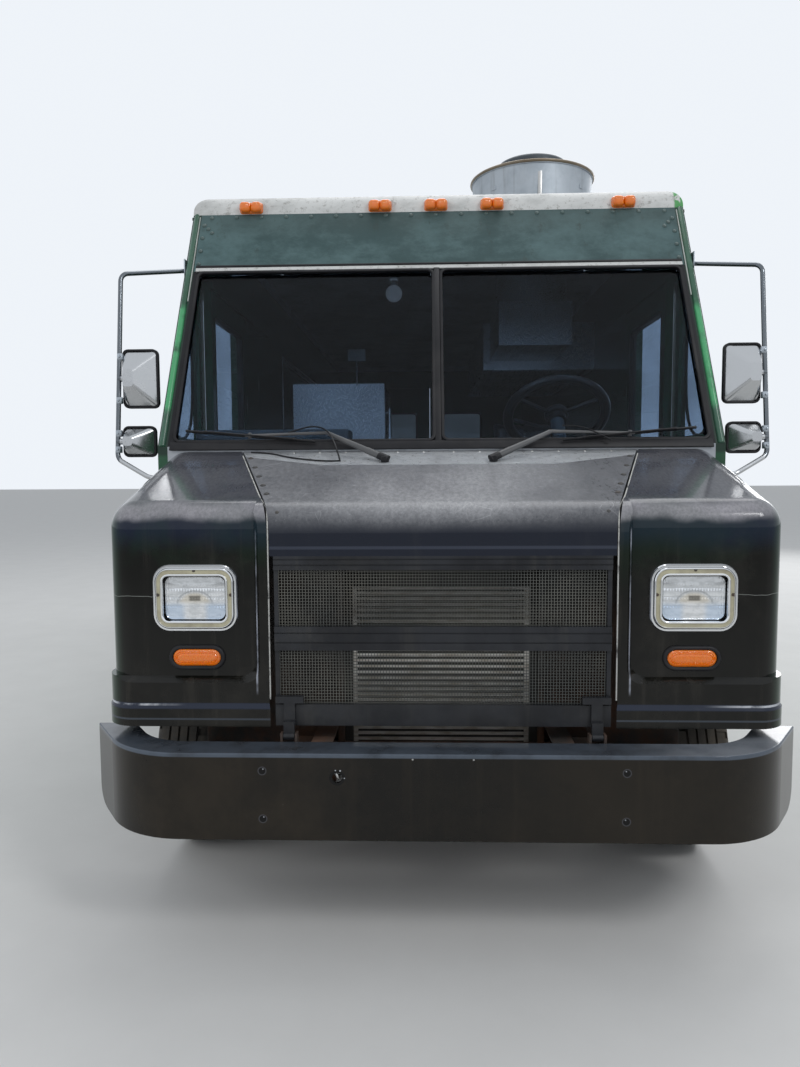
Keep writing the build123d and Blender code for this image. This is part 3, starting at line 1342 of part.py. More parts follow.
# Kitchen units: the cook line, the serving counter and the refrigerator
with BuildPart() as kitchen_units:
    block(cook_inner, cook_outer, kitchen_front, rear_axle - 560, floor_top, counter_top)
    block(cook_inner + 40, cook_outer, kitchen_front, rear_axle - 560, counter_top, counter_top + 60)
    block(-inner_half, -counter_inner, service_front - 60, service_rear + 60, floor_top, service_sill - 60)
    block(-inner_half, -counter_inner, rear_axle - rear_arch_radius - 30, rear_axle + rear_arch_radius + 30,
          floor_top - 1, house_top + 24, mode=Mode.SUBTRACT)
    block(fridge_left, fridge_right, fridge_front, fridge_rear, floor_top, fridge_top)
save(kitchen_units, "kitchen_units")

# Kitchen hood over the cook line, with its duct up to the fan
with BuildPart() as kitchen_hood:
    block(cook_inner - 80, inner_half, kitchen_front - 60, rear_axle - 500, hood_low, hood_low + 320)
    block(cook_inner - 50, inner_half - 30, kitchen_front - 30, rear_axle - 530, hood_low - 1,
          hood_low + 290, mode=Mode.SUBTRACT)
    block(fan_x - duct_radius, fan_x + duct_radius, fan_y - duct_radius, kitchen_front - 60,
          hood_low + 60, hood_low + 320)
    rod((fan_x, fan_y, hood_low + 300), (fan_x, fan_y, roof_top + 20), duct_radius - 1)
    block(fan_x - duct_radius + 12, fan_x + duct_radius - 12, fan_y - duct_radius + 12, kitchen_front,
          hood_low + 72, hood_low + 308, mode=Mode.SUBTRACT)
    rod((fan_x, fan_y, hood_low + 200), (fan_x, fan_y, roof_top + 30), duct_radius - 13, mode=Mode.SUBTRACT)
save(kitchen_hood, "kitchen_hood")
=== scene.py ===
# %% [markdown]
# # A walk-in food truck, dressed around its solids
# The truck's rigid solids come as a fixed frame in metres: x runs across it with the driver's side
# positive, y towards the rear, and z up from the ground. Nothing in the frame is moved. Each step below
# either gives one of its solids a finish or adds a piece that sits on it. The raked windshield stands
# over the cowl and leans back by one angle, so a few measures are named once and used all through.

# %% Load the frame
import bmesh
import bpy
from math import atan2, cos, exp, pi, radians, sin, tan
from mathutils import Matrix, Vector
from mathutils.bvhtree import BVHTree


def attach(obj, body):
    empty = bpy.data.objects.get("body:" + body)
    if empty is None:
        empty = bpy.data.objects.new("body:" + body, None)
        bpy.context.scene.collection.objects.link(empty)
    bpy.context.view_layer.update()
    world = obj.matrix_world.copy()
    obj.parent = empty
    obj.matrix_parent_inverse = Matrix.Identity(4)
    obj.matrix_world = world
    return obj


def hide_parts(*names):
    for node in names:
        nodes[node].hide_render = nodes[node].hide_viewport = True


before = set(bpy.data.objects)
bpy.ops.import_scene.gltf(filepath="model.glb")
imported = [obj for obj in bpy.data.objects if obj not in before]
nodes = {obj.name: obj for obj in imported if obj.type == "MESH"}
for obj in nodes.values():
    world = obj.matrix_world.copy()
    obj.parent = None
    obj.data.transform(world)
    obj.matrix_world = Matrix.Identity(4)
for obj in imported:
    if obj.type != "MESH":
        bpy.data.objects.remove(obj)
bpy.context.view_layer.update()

# %% Measures that several steps share
SIDES = (("left", 1), ("right", -1))
rake = radians(28.2)
cowl_y, cowl_z, header_z, roof_edge_z = -2.934, 1.686, 2.5, 2.8
lamp_x, lamp_z, panel_y = 0.815, 1.165, -3.576
wall_x, skirt, eaves = 1.15, 0.482, 2.798
tow_x, tow_z = -0.332, 0.623
raked_out = Vector((0, -cos(rake), sin(rake)))
print("height of the raked front:", round(roof_edge_z - cowl_z, 3))

# %% [markdown]
# ## Camera
# A photograph's view has a place, a direction and a field of view. All three were solved from mirrored
# pairs of points on the front. The direction is three turns, one after another: the heading, the
# downward pitch and a slight roll. A 36 mm sensor is fitted to the tall side of the picture.

# %% Camera at the photograph's place
picture_high = 1067
focal_pixels = 780
heading, pitch, roll = radians(1.92), radians(90 - 4.42), radians(-0.33)
lens_data = bpy.data.cameras.new("view_front")
lens_data.sensor_width = 36
lens_data.lens = focal_pixels / picture_high * lens_data.sensor_width
camera = bpy.data.objects.new("view_front", lens_data)
bpy.context.scene.collection.objects.link(camera)
view = Matrix.Translation((-0.051, -6.117, 1.573))
for turn, axis in ((heading, "Z"), (pitch, "X"), (roll, "Z")):
    view = view @ Matrix.Rotation(turn, 4, axis)
camera.matrix_world = view
bpy.context.scene.camera = camera
print("lens, mm:", round(lens_data.lens, 2))

# %% [markdown]
# ## Tools of the trade
# An operator acts on everything that is selected, so each helper clears the selection first. Blocks,
# bars and rings start as primitives at their size and place, get their edges bevelled in edit mode, and
# have their place applied, so each finished object sits at the origin with its place in its mesh.

# %% Selecting
def nothing_selected():
    """Leaves edit mode and deselects everything."""
    if bpy.context.object and bpy.context.object.mode != "OBJECT":
        bpy.ops.object.mode_set(mode="OBJECT")
    bpy.ops.object.select_all(action="DESELECT")


def only(piece):
    """Makes one piece the selection and the active object."""
    nothing_selected()
    piece.select_set(True)
    bpy.context.view_layer.objects.active = piece


def pick_faces(test):
    """In edit mode, selects the faces whose centre and normal pass a test."""
    shape = bmesh.from_edit_mesh(bpy.context.object.data)
    for part in (*shape.verts, *shape.edges, *shape.faces):
        part.select = False
    for face in shape.faces:
        face.select_set(test(face.calc_center_median(), face.normal))
    bmesh.update_edit_mesh(bpy.context.object.data)


def applied():
    """Writes the active object's place into its mesh."""
    bpy.ops.object.transform_apply(location=True, rotation=True, scale=True)


def edit(piece):
    """Opens one piece in edit mode."""
    only(piece)
    bpy.ops.object.mode_set(mode="EDIT")


def everything():
    """In edit mode, selects it all."""
    bpy.ops.mesh.select_all(action="SELECT")


def done():
    """Closes edit mode."""
    bpy.ops.object.mode_set(mode="OBJECT")

# %% Blocks, bars and rings
def block(name, low, high, edge=0.003, steps=2):
    """A box between two corners with rounded edges."""
    nothing_selected()
    middle = [(a + b) / 2 for a, b in zip(low, high)]
    size = [abs(b - a) for a, b in zip(low, high)]
    bpy.ops.mesh.primitive_cube_add(size=1, location=middle, scale=size)
    piece = bpy.context.object
    piece.name = name
    applied()
    edit(piece)
    everything()
    bpy.ops.mesh.bevel(offset=edge, segments=steps, affect="EDGES")
    done()
    return piece


def bar(name, start, end, radius, sides=16, edge=0.0, tip=None):
    """A round bar between two points, its ends rounded; a tip radius makes it taper."""
    nothing_selected()
    run = Vector(end) - Vector(start)
    turn = run.to_track_quat("Z", "Y").to_euler()
    middle = (Vector(start) + Vector(end)) / 2
    far_radius = radius if tip is None else tip
    bpy.ops.mesh.primitive_cone_add(vertices=sides, radius1=radius, radius2=far_radius, depth=run.length,
        location=middle, rotation=turn)
    piece = bpy.context.object
    piece.name = name
    if edge:
        edit(piece)
        pick_faces(lambda centre, normal: abs(normal.z) > 0.99)
        bpy.ops.mesh.bevel(offset=edge, segments=2, affect="EDGES")
        done()
    only(piece)
    applied()
    return piece


def ring(name, place, facing, radius, thickness, sides=32, rings=10):
    """A round bead about an axis."""
    nothing_selected()
    turn = Vector(facing).to_track_quat("Z", "Y").to_euler()
    bpy.ops.mesh.primitive_torus_add(major_segments=sides, minor_segments=rings, major_radius=radius,
        minor_radius=thickness, location=place, rotation=turn)
    piece = bpy.context.object
    piece.name = name
    applied()
    return piece


def hose(name, points, radius, sides=8, closed=False):
    """A bent round tube that follows a smooth line through its points."""
    nothing_selected()
    bpy.ops.curve.primitive_nurbs_path_add(location=(0, 0, 0))
    piece = bpy.context.object
    piece.name = name
    line = piece.data.splines[0]
    if len(points) < len(line.points):
        piece.data.splines.remove(line)
        line = piece.data.splines.new("NURBS")
    line.points.add(len(points) - len(line.points))
    for spot, place in zip(line.points, points):
        spot.co = (*place, 1)
    line.use_cyclic_u = closed
    line.order_u = 3
    line.use_endpoint_u = not closed
    line.resolution_u = 6
    piece.data.bevel_depth = radius
    piece.data.bevel_resolution = max(sides // 4 - 1, 0)
    piece.data.use_fill_caps = True
    bpy.ops.object.convert(target="MESH")
    return bpy.context.object


def from_points(name, points, edges, faces):
    """A piece drawn from its points and the edges or faces between them."""
    mesh = bpy.data.meshes.new(name)
    mesh.from_pydata(points, edges, faces)
    piece = bpy.data.objects.new(name, mesh)
    bpy.context.scene.collection.objects.link(piece)
    return piece


def row(piece, step, count):
    """Repeats a piece along a step with an array that is applied."""
    only(piece)
    bpy.ops.object.modifier_add(type="ARRAY")
    repeat = piece.modifiers[-1]
    repeat.use_relative_offset = False
    repeat.use_constant_offset = True
    repeat.constant_offset_displace = step
    repeat.count = count
    bpy.ops.object.modifier_apply(modifier=repeat.name)
    return piece


def joined(name, pieces):
    """Makes several pieces into one mesh."""
    nothing_selected()
    for piece in pieces:
        piece.select_set(True)
    bpy.context.view_layer.objects.active = pieces[0]
    if len(pieces) > 1:
        bpy.ops.object.join()
    pieces[0].name = name
    return pieces[0]

# %% [markdown]
# ## Effects that several finishes share
# Paint, steel and rubber all gather the same grime, so grime is one node group with its own inputs:
# soft blotches, streaks that run down, and splash that thickens towards the ground. Fine grain and
# scratches are two more. A group gives out only colours, masks and heights; the shader itself stays in
# each material.

# %% Node helpers
def fill(node, inputs):
    """Gives a node's inputs, by name or number, a value or a link each."""
    for key, value in inputs.items():
        if isinstance(value, bpy.types.NodeSocket):
            node.id_data.links.new(value, node.inputs[key])
        else:
            node.inputs[key].default_value = value


def add_node(tree, kind, inputs=None, **settings):
    """A node with its inputs and its settings."""
    made = tree.nodes.new(kind)
    for key, value in settings.items():
        setattr(made, key, value)
    fill(made, inputs or {})
    return made


def own_place(tree):
    """The object's own coordinates, which are the truck's."""
    return add_node(tree, "ShaderNodeTexCoord").outputs["Object"]


def xyz(tree):
    """The same coordinates as three numbers."""
    return add_node(tree, "ShaderNodeSeparateXYZ", {0: own_place(tree)}).outputs


def noise(tree, scale, detail, roughness=0.6):
    """Noise of one scale, or with its own scale along each axis."""
    scale = scale if isinstance(scale, tuple) else (scale,) * 3
    spread = add_node(tree, "ShaderNodeMapping", {"Vector": own_place(tree), "Scale": scale})
    return add_node(tree, "ShaderNodeTexNoise", {"Vector": spread.outputs[0], "Scale": 1.0, "Detail": detail,
        "Roughness": roughness}).outputs[0]


def remap(tree, value, low, high, out_low=0.0, out_high=1.0):
    """A value stretched between two limits, with soft ends."""
    return add_node(tree, "ShaderNodeMapRange", {0: value, 1: low, 2: high, 3: out_low, 4: out_high},
        interpolation_type="SMOOTHSTEP").outputs[0]


def mottled(tree, scale, detail, low, high, out_low=0.0, out_high=1.0, rough=0.6):
    """Noise stretched between two limits."""
    return remap(tree, noise(tree, scale, detail, rough), low, high, out_low, out_high)


def worked(tree, operation, *values, clamped=False):
    """Arithmetic on values; clamped keeps the result between 0 and 1."""
    return add_node(tree, "ShaderNodeMath", dict(enumerate(values)), operation=operation,
        use_clamp=clamped).outputs[0]


def sum_of(tree, operation, first, second):
    """Arithmetic on two masks, kept between 0 and 1."""
    return worked(tree, operation, first, second, clamped=True)


def times(tree, first, second):
    """One mask inside another."""
    return sum_of(tree, "MULTIPLY", first, second)


def away(tree, value):
    """A coordinate without its sign, for what is the same on both sides."""
    return worked(tree, "ABSOLUTE", value)


def band(tree, value, low, high, soft):
    """One between two values of a coordinate and nothing beyond them."""
    return times(tree, remap(tree, value, low - soft, low), remap(tree, value, high, high + soft, 1, 0))


def blend_of(tree, share, first, second):
    """Two colours mixed by a share."""
    return add_node(tree, "ShaderNodeMix", {0: share, 6: first, 7: second}, data_type="RGBA").outputs[2]


def effect_group(name, wanted, given):
    """A shader node group with its sockets, its input node and its output node."""
    tree = bpy.data.node_groups.new(name, "ShaderNodeTree")
    for label, kind, value in wanted:
        tree.interface.new_socket(name=label, in_out="INPUT", socket_type=kind).default_value = value
    for label, kind in given:
        tree.interface.new_socket(name=label, in_out="OUTPUT", socket_type=kind)
    return tree, tree.nodes.new("NodeGroupInput").outputs, tree.nodes.new("NodeGroupOutput").inputs

# %% Grime
COLOUR, NUMBER = "NodeSocketColor", "NodeSocketFloat"
grime, wanted, given = effect_group("grime", (("Paint", COLOUR, (1, 1, 1, 1)),
    ("Dirt", COLOUR, (0.1, 0.09, 0.07, 1)), ("Blotches", NUMBER, 0.3), ("Streaks", NUMBER, 0.3),
    ("Splash", NUMBER, 0.5)), (("Colour", COLOUR), ("Mask", NUMBER)))
height = xyz(grime)[2]
splash = times(grime, remap(grime, height, 1.2, 0.25), mottled(grime, 9, 8, 0.35, 0.65, rough=0.75))
layers = ((mottled(grime, 2.3, 8, 0.48, 0.72, rough=0.7), "Blotches"),
    (mottled(grime, (26, 26, 1.3), 5, 0.52, 0.74), "Streaks"), (splash, "Splash"))
dirty = 0.0
for mask, share in layers:
    dirty = sum_of(grime, "ADD", times(grime, mask, wanted[share]), dirty)
grime.links.new(blend_of(grime, dirty, wanted["Paint"], wanted["Dirt"]), given["Colour"])
grime.links.new(dirty, given["Mask"])

# %% Grain and scratches
grain, wanted, given = effect_group("grain", (("Fineness", NUMBER, 60.0),), (("Height", NUMBER),))
speckle = add_node(grain, "ShaderNodeTexNoise", {"Vector": own_place(grain), "Detail": 6.0,
    "Scale": wanted["Fineness"]})
grain.links.new(speckle.outputs[0], given["Height"])

scratches, wanted, given = effect_group("scratches", (("Density", NUMBER, 4.0), ("Width", NUMBER, 0.01)),
    (("Mask", NUMBER),))
warp = add_node(scratches, "ShaderNodeTexNoise", {"Vector": own_place(scratches), "Scale": 1.7})
bent = add_node(scratches, "ShaderNodeMix", {0: 0.35, 4: own_place(scratches), 5: warp.outputs[1]},
    data_type="VECTOR")
edges = add_node(scratches, "ShaderNodeTexVoronoi", {"Vector": bent.outputs[1], "Scale": wanted["Density"]},
    feature="DISTANCE_TO_EDGE")
thin = worked(scratches, "LESS_THAN", edges.outputs[0], wanted["Width"])
patch = mottled(scratches, 5, 2, 0.5, 0.62)
scratches.links.new(times(scratches, thin, patch), given["Mask"])
print("groups:", [tree.name for tree in bpy.data.node_groups])

# %% [markdown]
# ## Floor and light
# The truck stands on a plain pale floor under soft studio light: an even world, a wide lamp above, one
# from each side in front and one from behind. The world is at full strength only for what the camera,
# gloss and glass see, so the background is pale and the paint isn't burnt out.

# %% Floor
nothing_selected()
bpy.ops.mesh.primitive_plane_add(size=160, location=(0, 0, 0))
floor = bpy.context.object
floor.name = "studio_floor"
floor_finish = bpy.data.materials.new("studio_floor")
floor_finish.use_nodes = True
floor_tree = floor_finish.node_tree
floor_shader = floor_tree.nodes["Principled BSDF"]
fill(floor_shader, {"Roughness": 0.9, "Base Color": blend_of(floor_tree, noise(floor_tree, 3, 8),
    (0.66, 0.66, 0.65, 1), (0.74, 0.74, 0.73, 1))})
floor.data.materials.append(floor_finish)

# %% World and lamps
world = bpy.data.worlds.new("studio")
bpy.context.scene.world = world
world.use_nodes = True
light_tree = world.node_tree
seen = add_node(light_tree, "ShaderNodeLightPath")
straight = sum_of(light_tree, "MAXIMUM", seen.outputs["Is Camera Ray"], seen.outputs["Is Glossy Ray"])
straight = sum_of(light_tree, "MAXIMUM", straight, seen.outputs["Is Transmission Ray"])
backdrop = light_tree.nodes["Background"]
fill(backdrop, {"Color": (0.86, 0.9, 0.95, 1), "Strength": remap(light_tree, straight, 0, 1, 0.55, 1.0)})


def soft_lamp(name, place, aim, size, watts):
    """A wide area lamp that looks at a point."""
    lamp_data = bpy.data.lights.new(name, "AREA")
    lamp_data.size = size
    lamp_data.energy = watts
    lamp = bpy.data.objects.new(name, lamp_data)
    lamp.location = place
    lamp.rotation_euler = (Vector(aim) - Vector(place)).to_track_quat("-Z", "Y").to_euler()
    bpy.context.scene.collection.objects.link(lamp)
    return lamp


soft_lamp("overhead", (1.0, 1.5, 9.0), (0, 0.5, 1), 7.0, 330)
soft_lamp("front_left", (-6.5, -9.0, 5.0), (0, -2, 1.2), 4.0, 200).visible_glossy = False
soft_lamp("front_right", (5.0, -8.5, 7.0), (0, -2.5, 1.2), 1.8, 170)
soft_lamp("behind_right", (7.0, 8.0, 5.0), (0, 1, 1.5), 4.0, 220)
bpy.context.scene.view_settings.view_transform = "Standard"
print("lamps:", len(bpy.data.lights))

# %% [markdown]
# ## Paints and metals
# Every coat on an old truck has the same make-up: a colour that has faded in soft patches, grime over it
# and a grain under it. One function builds that, and each finish is one line of colours and amounts.
# Gloss follows the grime, because a dirty place is also a dull one.

# %% A coat
road_dirt, soot, rust = (0.16, 0.13, 0.1), (0.03, 0.03, 0.03), (0.16, 0.07, 0.035)


def new_finish(name):
    """A material with its node tree and its shader."""
    finish = bpy.data.materials.new(name)
    finish.use_nodes = True
    return finish, finish.node_tree, finish.node_tree.nodes["Principled BSDF"]


def raised(tree, shader, height, depth, strength):
    """Gives a shader a relief of some depth in metres."""
    bump = add_node(tree, "ShaderNodeBump", {"Height": height, "Distance": depth, "Strength": strength})
    fill(shader, {"Normal": bump.outputs[0]})


def grained(tree, shader, fineness, depth):
    """Gives a shader a fine grain of some depth in metres."""
    fine = add_node(tree, "ShaderNodeGroup", {"Fineness": fineness}, node_tree=grain)
    raised(tree, shader, fine.outputs[0], depth, 0.6)


def coat(name, paint, faded, dirt=road_dirt, blotches=0.2, streaks=0.15, splash=0.4, gloss=0.3, dull=0.6,
        metal=0.0, fineness=50.0, depth=0.0004, patches=3.0, specular=0.5):
    """A painted, cast or bare surface with faded patches, grime and grain."""
    finish, tree, shader = new_finish(name)
    tint = blend_of(tree, mottled(tree, patches, 6, 0.38, 0.68), (*paint, 1), (*faded, 1))
    stained = add_node(tree, "ShaderNodeGroup", {"Paint": tint, "Dirt": (*dirt, 1), "Blotches": blotches,
        "Streaks": streaks, "Splash": splash}, node_tree=grime)
    fill(shader, {"Base Color": stained.outputs["Colour"],
        "Roughness": remap(tree, stained.outputs["Mask"], 0, 0.6, gloss, dull), "Metallic": metal,
        "Specular IOR Level": specular})
    grained(tree, shader, fineness, depth)
    return finish


def painted_over(finish, share_of, colour):
    """Lays one colour over part of a finish: share_of makes the mask from the tree and the place."""
    tree = finish.node_tree
    shader = tree.nodes["Principled BSDF"]
    under = shader.inputs["Base Color"].links[0].from_socket
    place = xyz(tree)
    fill(shader, {"Base Color": blend_of(tree, share_of(tree, *place), under, (*colour, 1))})

# %% Coats of the chassis and the body
frame_black = coat("frame_black", (0.03, 0.03, 0.03), (0.05, 0.045, 0.04), rust, 0.35, 0.1, 0.7, 0.5, 0.85)
cast_iron = coat("cast_iron", (0.07, 0.065, 0.06), (0.1, 0.08, 0.06), rust, 0.5, 0.1, 0.4, 0.55, 0.9, 0.6, 90,
    0.0012)
tank_metal = coat("tank_metal", (0.5, 0.51, 0.52), (0.38, 0.38, 0.38), soot, 0.3, 0.2, 0.5, 0.35, 0.7, 0.9)
exhaust_metal = coat("exhaust_metal", (0.2, 0.17, 0.15), (0.16, 0.08, 0.04), rust, 0.6, 0, 0.3, 0.5, 0.9, 0.7)
panel_grey = coat("panel_grey", (0.3, 0.34, 0.35), (0.24, 0.27, 0.28), soot, 0.15, 0.1, 0.1, 0.45, 0.7)
floor_tread = coat("floor_tread", (0.3, 0.3, 0.3), (0.2, 0.2, 0.2), soot, 0.4, 0, 0.2, 0.4, 0.7, 0.7, 30, 0.002)
step_black = coat("step_black", (0.035, 0.035, 0.035), (0.07, 0.07, 0.065), road_dirt, 0.25, 0.1, 0.5, 0.5, 0.8)
# Painted reflection: the brown patches of the bumper's second tint stand for the ground mirrored in its gloss
# black; the grime over them is real.
bumper_paint = coat("bumper_paint", (0.006, 0.0055, 0.0045), (0.014, 0.011, 0.007), (0.05, 0.038, 0.025), 0.22,
    0.1, 0.1, 0.12, 0.4, 0, 12, 0.0004, 1.5, 0.25)
# Painted reflection of the sky: a bluish line along the bumper's rounded top edge, and a brighter painted
# highlight on the top flange towards both ends.
painted_over(bumper_paint, lambda tree, x, y, z: times(tree, band(tree, z, 0.689, 0.6985, 0.004),
    mottled(tree, 9, 7, 0.2, 0.6, 0.4, 1)), (0.085, 0.105, 0.135))
painted_over(bumper_paint, lambda tree, x, y, z: times(tree, remap(tree, z, 0.699, 0.6995),
    times(tree, sum_of(tree, "MAXIMUM", remap(tree, x, 0.5, 0.9), remap(tree, x, -1.05, -1.15)),
    mottled(tree, 7, 7, 0.15, 0.6, 0.3, 1))), (0.22, 0.24, 0.27))


def spotted(finish, at_x, at_z, inner, outer, colour, mirrored=False):
    """Paints a disc or ring between two radii on a face that is seen from the front."""
    def share_of(tree, x, y, z):
        flat = add_node(tree, "ShaderNodeCombineXYZ", {0: away(tree, x) if mirrored else x, 2: z})
        reach = add_node(tree, "ShaderNodeVectorMath", {0: flat.outputs[0], 1: (at_x, 0, at_z)},
            operation="DISTANCE")
        return band(tree, reach.outputs[1], inner, outer, 0.0006)

    painted_over(finish, share_of, colour)


# Bolt heads painted on the face: a dark head, a painted highlight round its rim and a painted glint just above
# its middle.
for at_z in (0.489, 0.644):
    spotted(bumper_paint, 0.568, at_z, -1, 0.0105, (0.002, 0.002, 0.002), True)
    spotted(bumper_paint, 0.568, at_z, 0.0112, 0.0138, (0.05, 0.05, 0.055), True)
    spotted(bumper_paint, 0.565, at_z + 0.006, -1, 0.002, (0.25, 0.26, 0.28), True)
# The tow hole is widened by a dark disc of painted shade, and painted glints stand for light on its loop.
spotted(bumper_paint, tow_x, tow_z, 0, 0.0245, (0.003, 0.003, 0.003))
for at_x, at_z, size in ((-0.322, 0.646, 0.0024), (-0.337, 0.647, 0.0018), (-0.309, 0.622, 0.0016)):
    spotted(bumper_paint, at_x, at_z, -1, size, (0.4, 0.42, 0.45))
wiper_grey = coat("wiper_grey", (0.05, 0.052, 0.055), (0.09, 0.092, 0.095), road_dirt, 0.2, 0.1, 0, 0.35, 0.6)
mesh_paint = coat("mesh_paint", (0.09, 0.095, 0.09), (0.17, 0.17, 0.15), road_dirt, 0.4, 0, 0, 0.35, 0.6, 0.3)
wiper_paint = coat("wiper_paint", (0.03, 0.03, 0.032), (0.07, 0.07, 0.075), road_dirt, 0.2, 0.1, 0, 0.4, 0.6)
grille_paint = coat("grille_paint", (0.012, 0.013, 0.016), (0.025, 0.027, 0.032), (0.09, 0.085, 0.075), 0.3,
    0.2, 0.15, 0.3, 0.55, 0, 60, 0.0004, 6, 0.28)
galvanised = coat("galvanised", (0.42, 0.46, 0.5), (0.34, 0.38, 0.42), (0.2, 0.2, 0.2), 0.25, 0.35, 0, 0.5, 0.7,
    0.6, 40, 0.0003, 7)
# Painted shade: the fan's top is dark, as the inside of its mouth looks.
painted_over(galvanised, lambda tree, x, y, z: remap(tree, z, 3.372, 3.376), (0.07, 0.08, 0.09))
rim_silver = coat("rim_silver", (0.55, 0.55, 0.54), (0.42, 0.41, 0.39), (0.12, 0.08, 0.05), 0.35, 0.1, 0.45,
    0.35, 0.7, 0.3)
dash_paint = coat("dash_paint", (0.085, 0.12, 0.145), (0.12, 0.15, 0.17), (0.2, 0.19, 0.17), 0.25, 0.05, 0, 0.5,
    0.75, 0, 220, 0.0006)
wheel_black = coat("wheel_black", (0.018, 0.018, 0.019), (0.03, 0.03, 0.03), road_dirt, 0.1, 0, 0, 0.35, 0.55,
    0, 260, 0.0004)
seat_steel = coat("seat_steel", (0.04, 0.04, 0.042), (0.07, 0.07, 0.07), rust, 0.2, 0.05, 0, 0.4, 0.7)
knuckle_iron = coat("knuckle_iron", (0.06, 0.055, 0.05), (0.12, 0.07, 0.045), rust, 0.5, 0, 0.4, 0.6, 0.9, 0.5,
    90, 0.001)
print("coats:", len(bpy.data.materials))

# %% [markdown]
# ## Black paint on the nose, and the cooler
# The fenders were sprayed black over green, so the green still shows through on their upper and outer
# parts, and a hairline crack crosses each lamp panel at the lamps' middle. Their gloss black carries painted
# light too: a dark blue painted reflection of the sky from the bend up, a painted sheen in streaks on the
# sloped top, a painted highlight along the bend, and painted reflections and glints on the ledges and in the
# groove of the front face. The hood is flatter: it has a grey haze full of fine scratches, partly sun-faded
# paint and partly painted sky sheen, and it stays dark where it bends down to the grille, with a painted
# highlight line along its crease. Both are painted by place, with the object's own coordinates. So is the
# cooler behind the grille: its level tubes stand proud of the fins, so how far forward a point lies tells
# which of the two it is, and painted shade darkens the tubes towards the top, under the hood.

# %% Fenders, black over green
fender_black, tree, shader = new_finish("fender_black")
side_part = xyz(tree)
outward = away(tree, side_part[0])
cloud = mottled(tree, 4, 5, 0.4, 0.6)
ahead = remap(tree, side_part[1], -3.5, -3.45, 1, 0)
upper = times(tree, times(tree, remap(tree, side_part[2], 1.15, 1.34), cloud), times(tree, ahead, 0.22))
outer = remap(tree, outward, 1.06, 1.125)
green_share = times(tree, sum_of(tree, "MAXIMUM", outer, upper), 0.85)
# Painted light on the gloss black: a painted sky sheen, in streaks like rubbing, on the sloped top, a dark blue
# painted reflection of the sky from the bend upwards, and a painted highlight along the bend.
rubbed_sheen = times(tree, mottled(tree, (120, 22, 120), 8, 0.3, 0.7, 0.6, 1, rough=0.75),
    mottled(tree, 2.5, 3, 0.3, 0.6, 0.6, 1))
top_sheen = times(tree, remap(tree, side_part[2], 1.415, 1.455), rubbed_sheen)
bend = sum_of(tree, "ADD", side_part[2], -1.0)
bend = sum_of(tree, "ADD", bend, mottled(tree, 5, 3, 0.3, 0.7, 0, 0.02))
sky_reflection = times(tree, remap(tree, bend, 0.31, 0.4), 0.9)
bend_highlight = times(tree, band(tree, bend, 0.45, 0.47, 0.032), rubbed_sheen)
black = blend_of(tree, sky_reflection, (0.004, 0.004, 0.003, 1), (0.008, 0.014, 0.032, 1))
black = blend_of(tree, top_sheen, black, (0.12, 0.122, 0.135, 1))
black = blend_of(tree, times(tree, bend_highlight, 0.8), black, (0.42, 0.41, 0.44, 1))
over = blend_of(tree, green_share, black, (0.01, 0.045, 0.02, 1))
crack_height = worked(tree, "ADD", side_part[2], mottled(tree, 3, 4, 0.2, 0.8, -0.012, 0.012))
off_crack = worked(tree, "COMPARE", crack_height, 1.17, 0.0009)
crack = times(tree, off_crack, remap(tree, outward, 0.68, 0.67, 1, 0))
cracked = blend_of(tree, times(tree, crack, 0.6), over, (0.3, 0.32, 0.3, 1))
stained = add_node(tree, "ShaderNodeGroup", {"Paint": cracked, "Dirt": (0.1, 0.09, 0.075, 1), "Blotches": 0.12,
    "Streaks": 0.12, "Splash": 0.12}, node_tree=grime)
fill(shader, {"Base Color": stained.outputs["Colour"],
    "Roughness": remap(tree, stained.outputs["Mask"], 0, 0.4, 0.14, 0.42), "Specular IOR Level": 0.2,
    "Coat Weight": 0.15, "Coat Roughness": 0.04})
grained(tree, shader, 14, 0.0004)


def on_front(tree, y, share):
    """A share kept to the nose's front face."""
    return times(tree, share, remap(tree, y, -3.52, -3.56))


# Painted light on the front face: a dark blue painted reflection of the sky on the upper ledge, a paler painted
# reflection on the lower one, a painted glint towards the upper ledge's outer end, and painted glints down the
# lamp panel's groove.
painted_over(fender_black, lambda tree, x, y, z: on_front(tree, y, band(tree, z, 0.8, 0.8145, 0.003)),
    (0.016, 0.022, 0.04))
painted_over(fender_black, lambda tree, x, y, z: on_front(tree, y, band(tree, z, 0.763, 0.767, 0.002)),
    (0.05, 0.06, 0.075))
painted_over(fender_black, lambda tree, x, y, z: on_front(tree, y,
    times(tree, band(tree, z, 0.809, 0.813, 0.0015), times(tree, remap(tree, away(tree, x), 0.84, 1.02),
    mottled(tree, 14, 4, 0.35, 0.55)))), (0.5, 0.52, 0.56))
painted_over(fender_black, lambda tree, x, y, z: on_front(tree, y,
    times(tree, band(tree, away(tree, x), 0.6085, 0.6125, 0.002),
    times(tree, band(tree, z, 0.87, 1.37, 0.03), mottled(tree, (3, 3, 7), 4, 0.38, 0.62, 0.15, 1)))),
    (0.34, 0.36, 0.42))

# %% Hood, faded with painted sheen, and scratched
hood_black, tree, shader = new_finish("hood_black")
place = xyz(tree)
wavy = worked(tree, "ADD", place[2], mottled(tree, 3, 2, 0.3, 0.7, -0.006, 0.006))
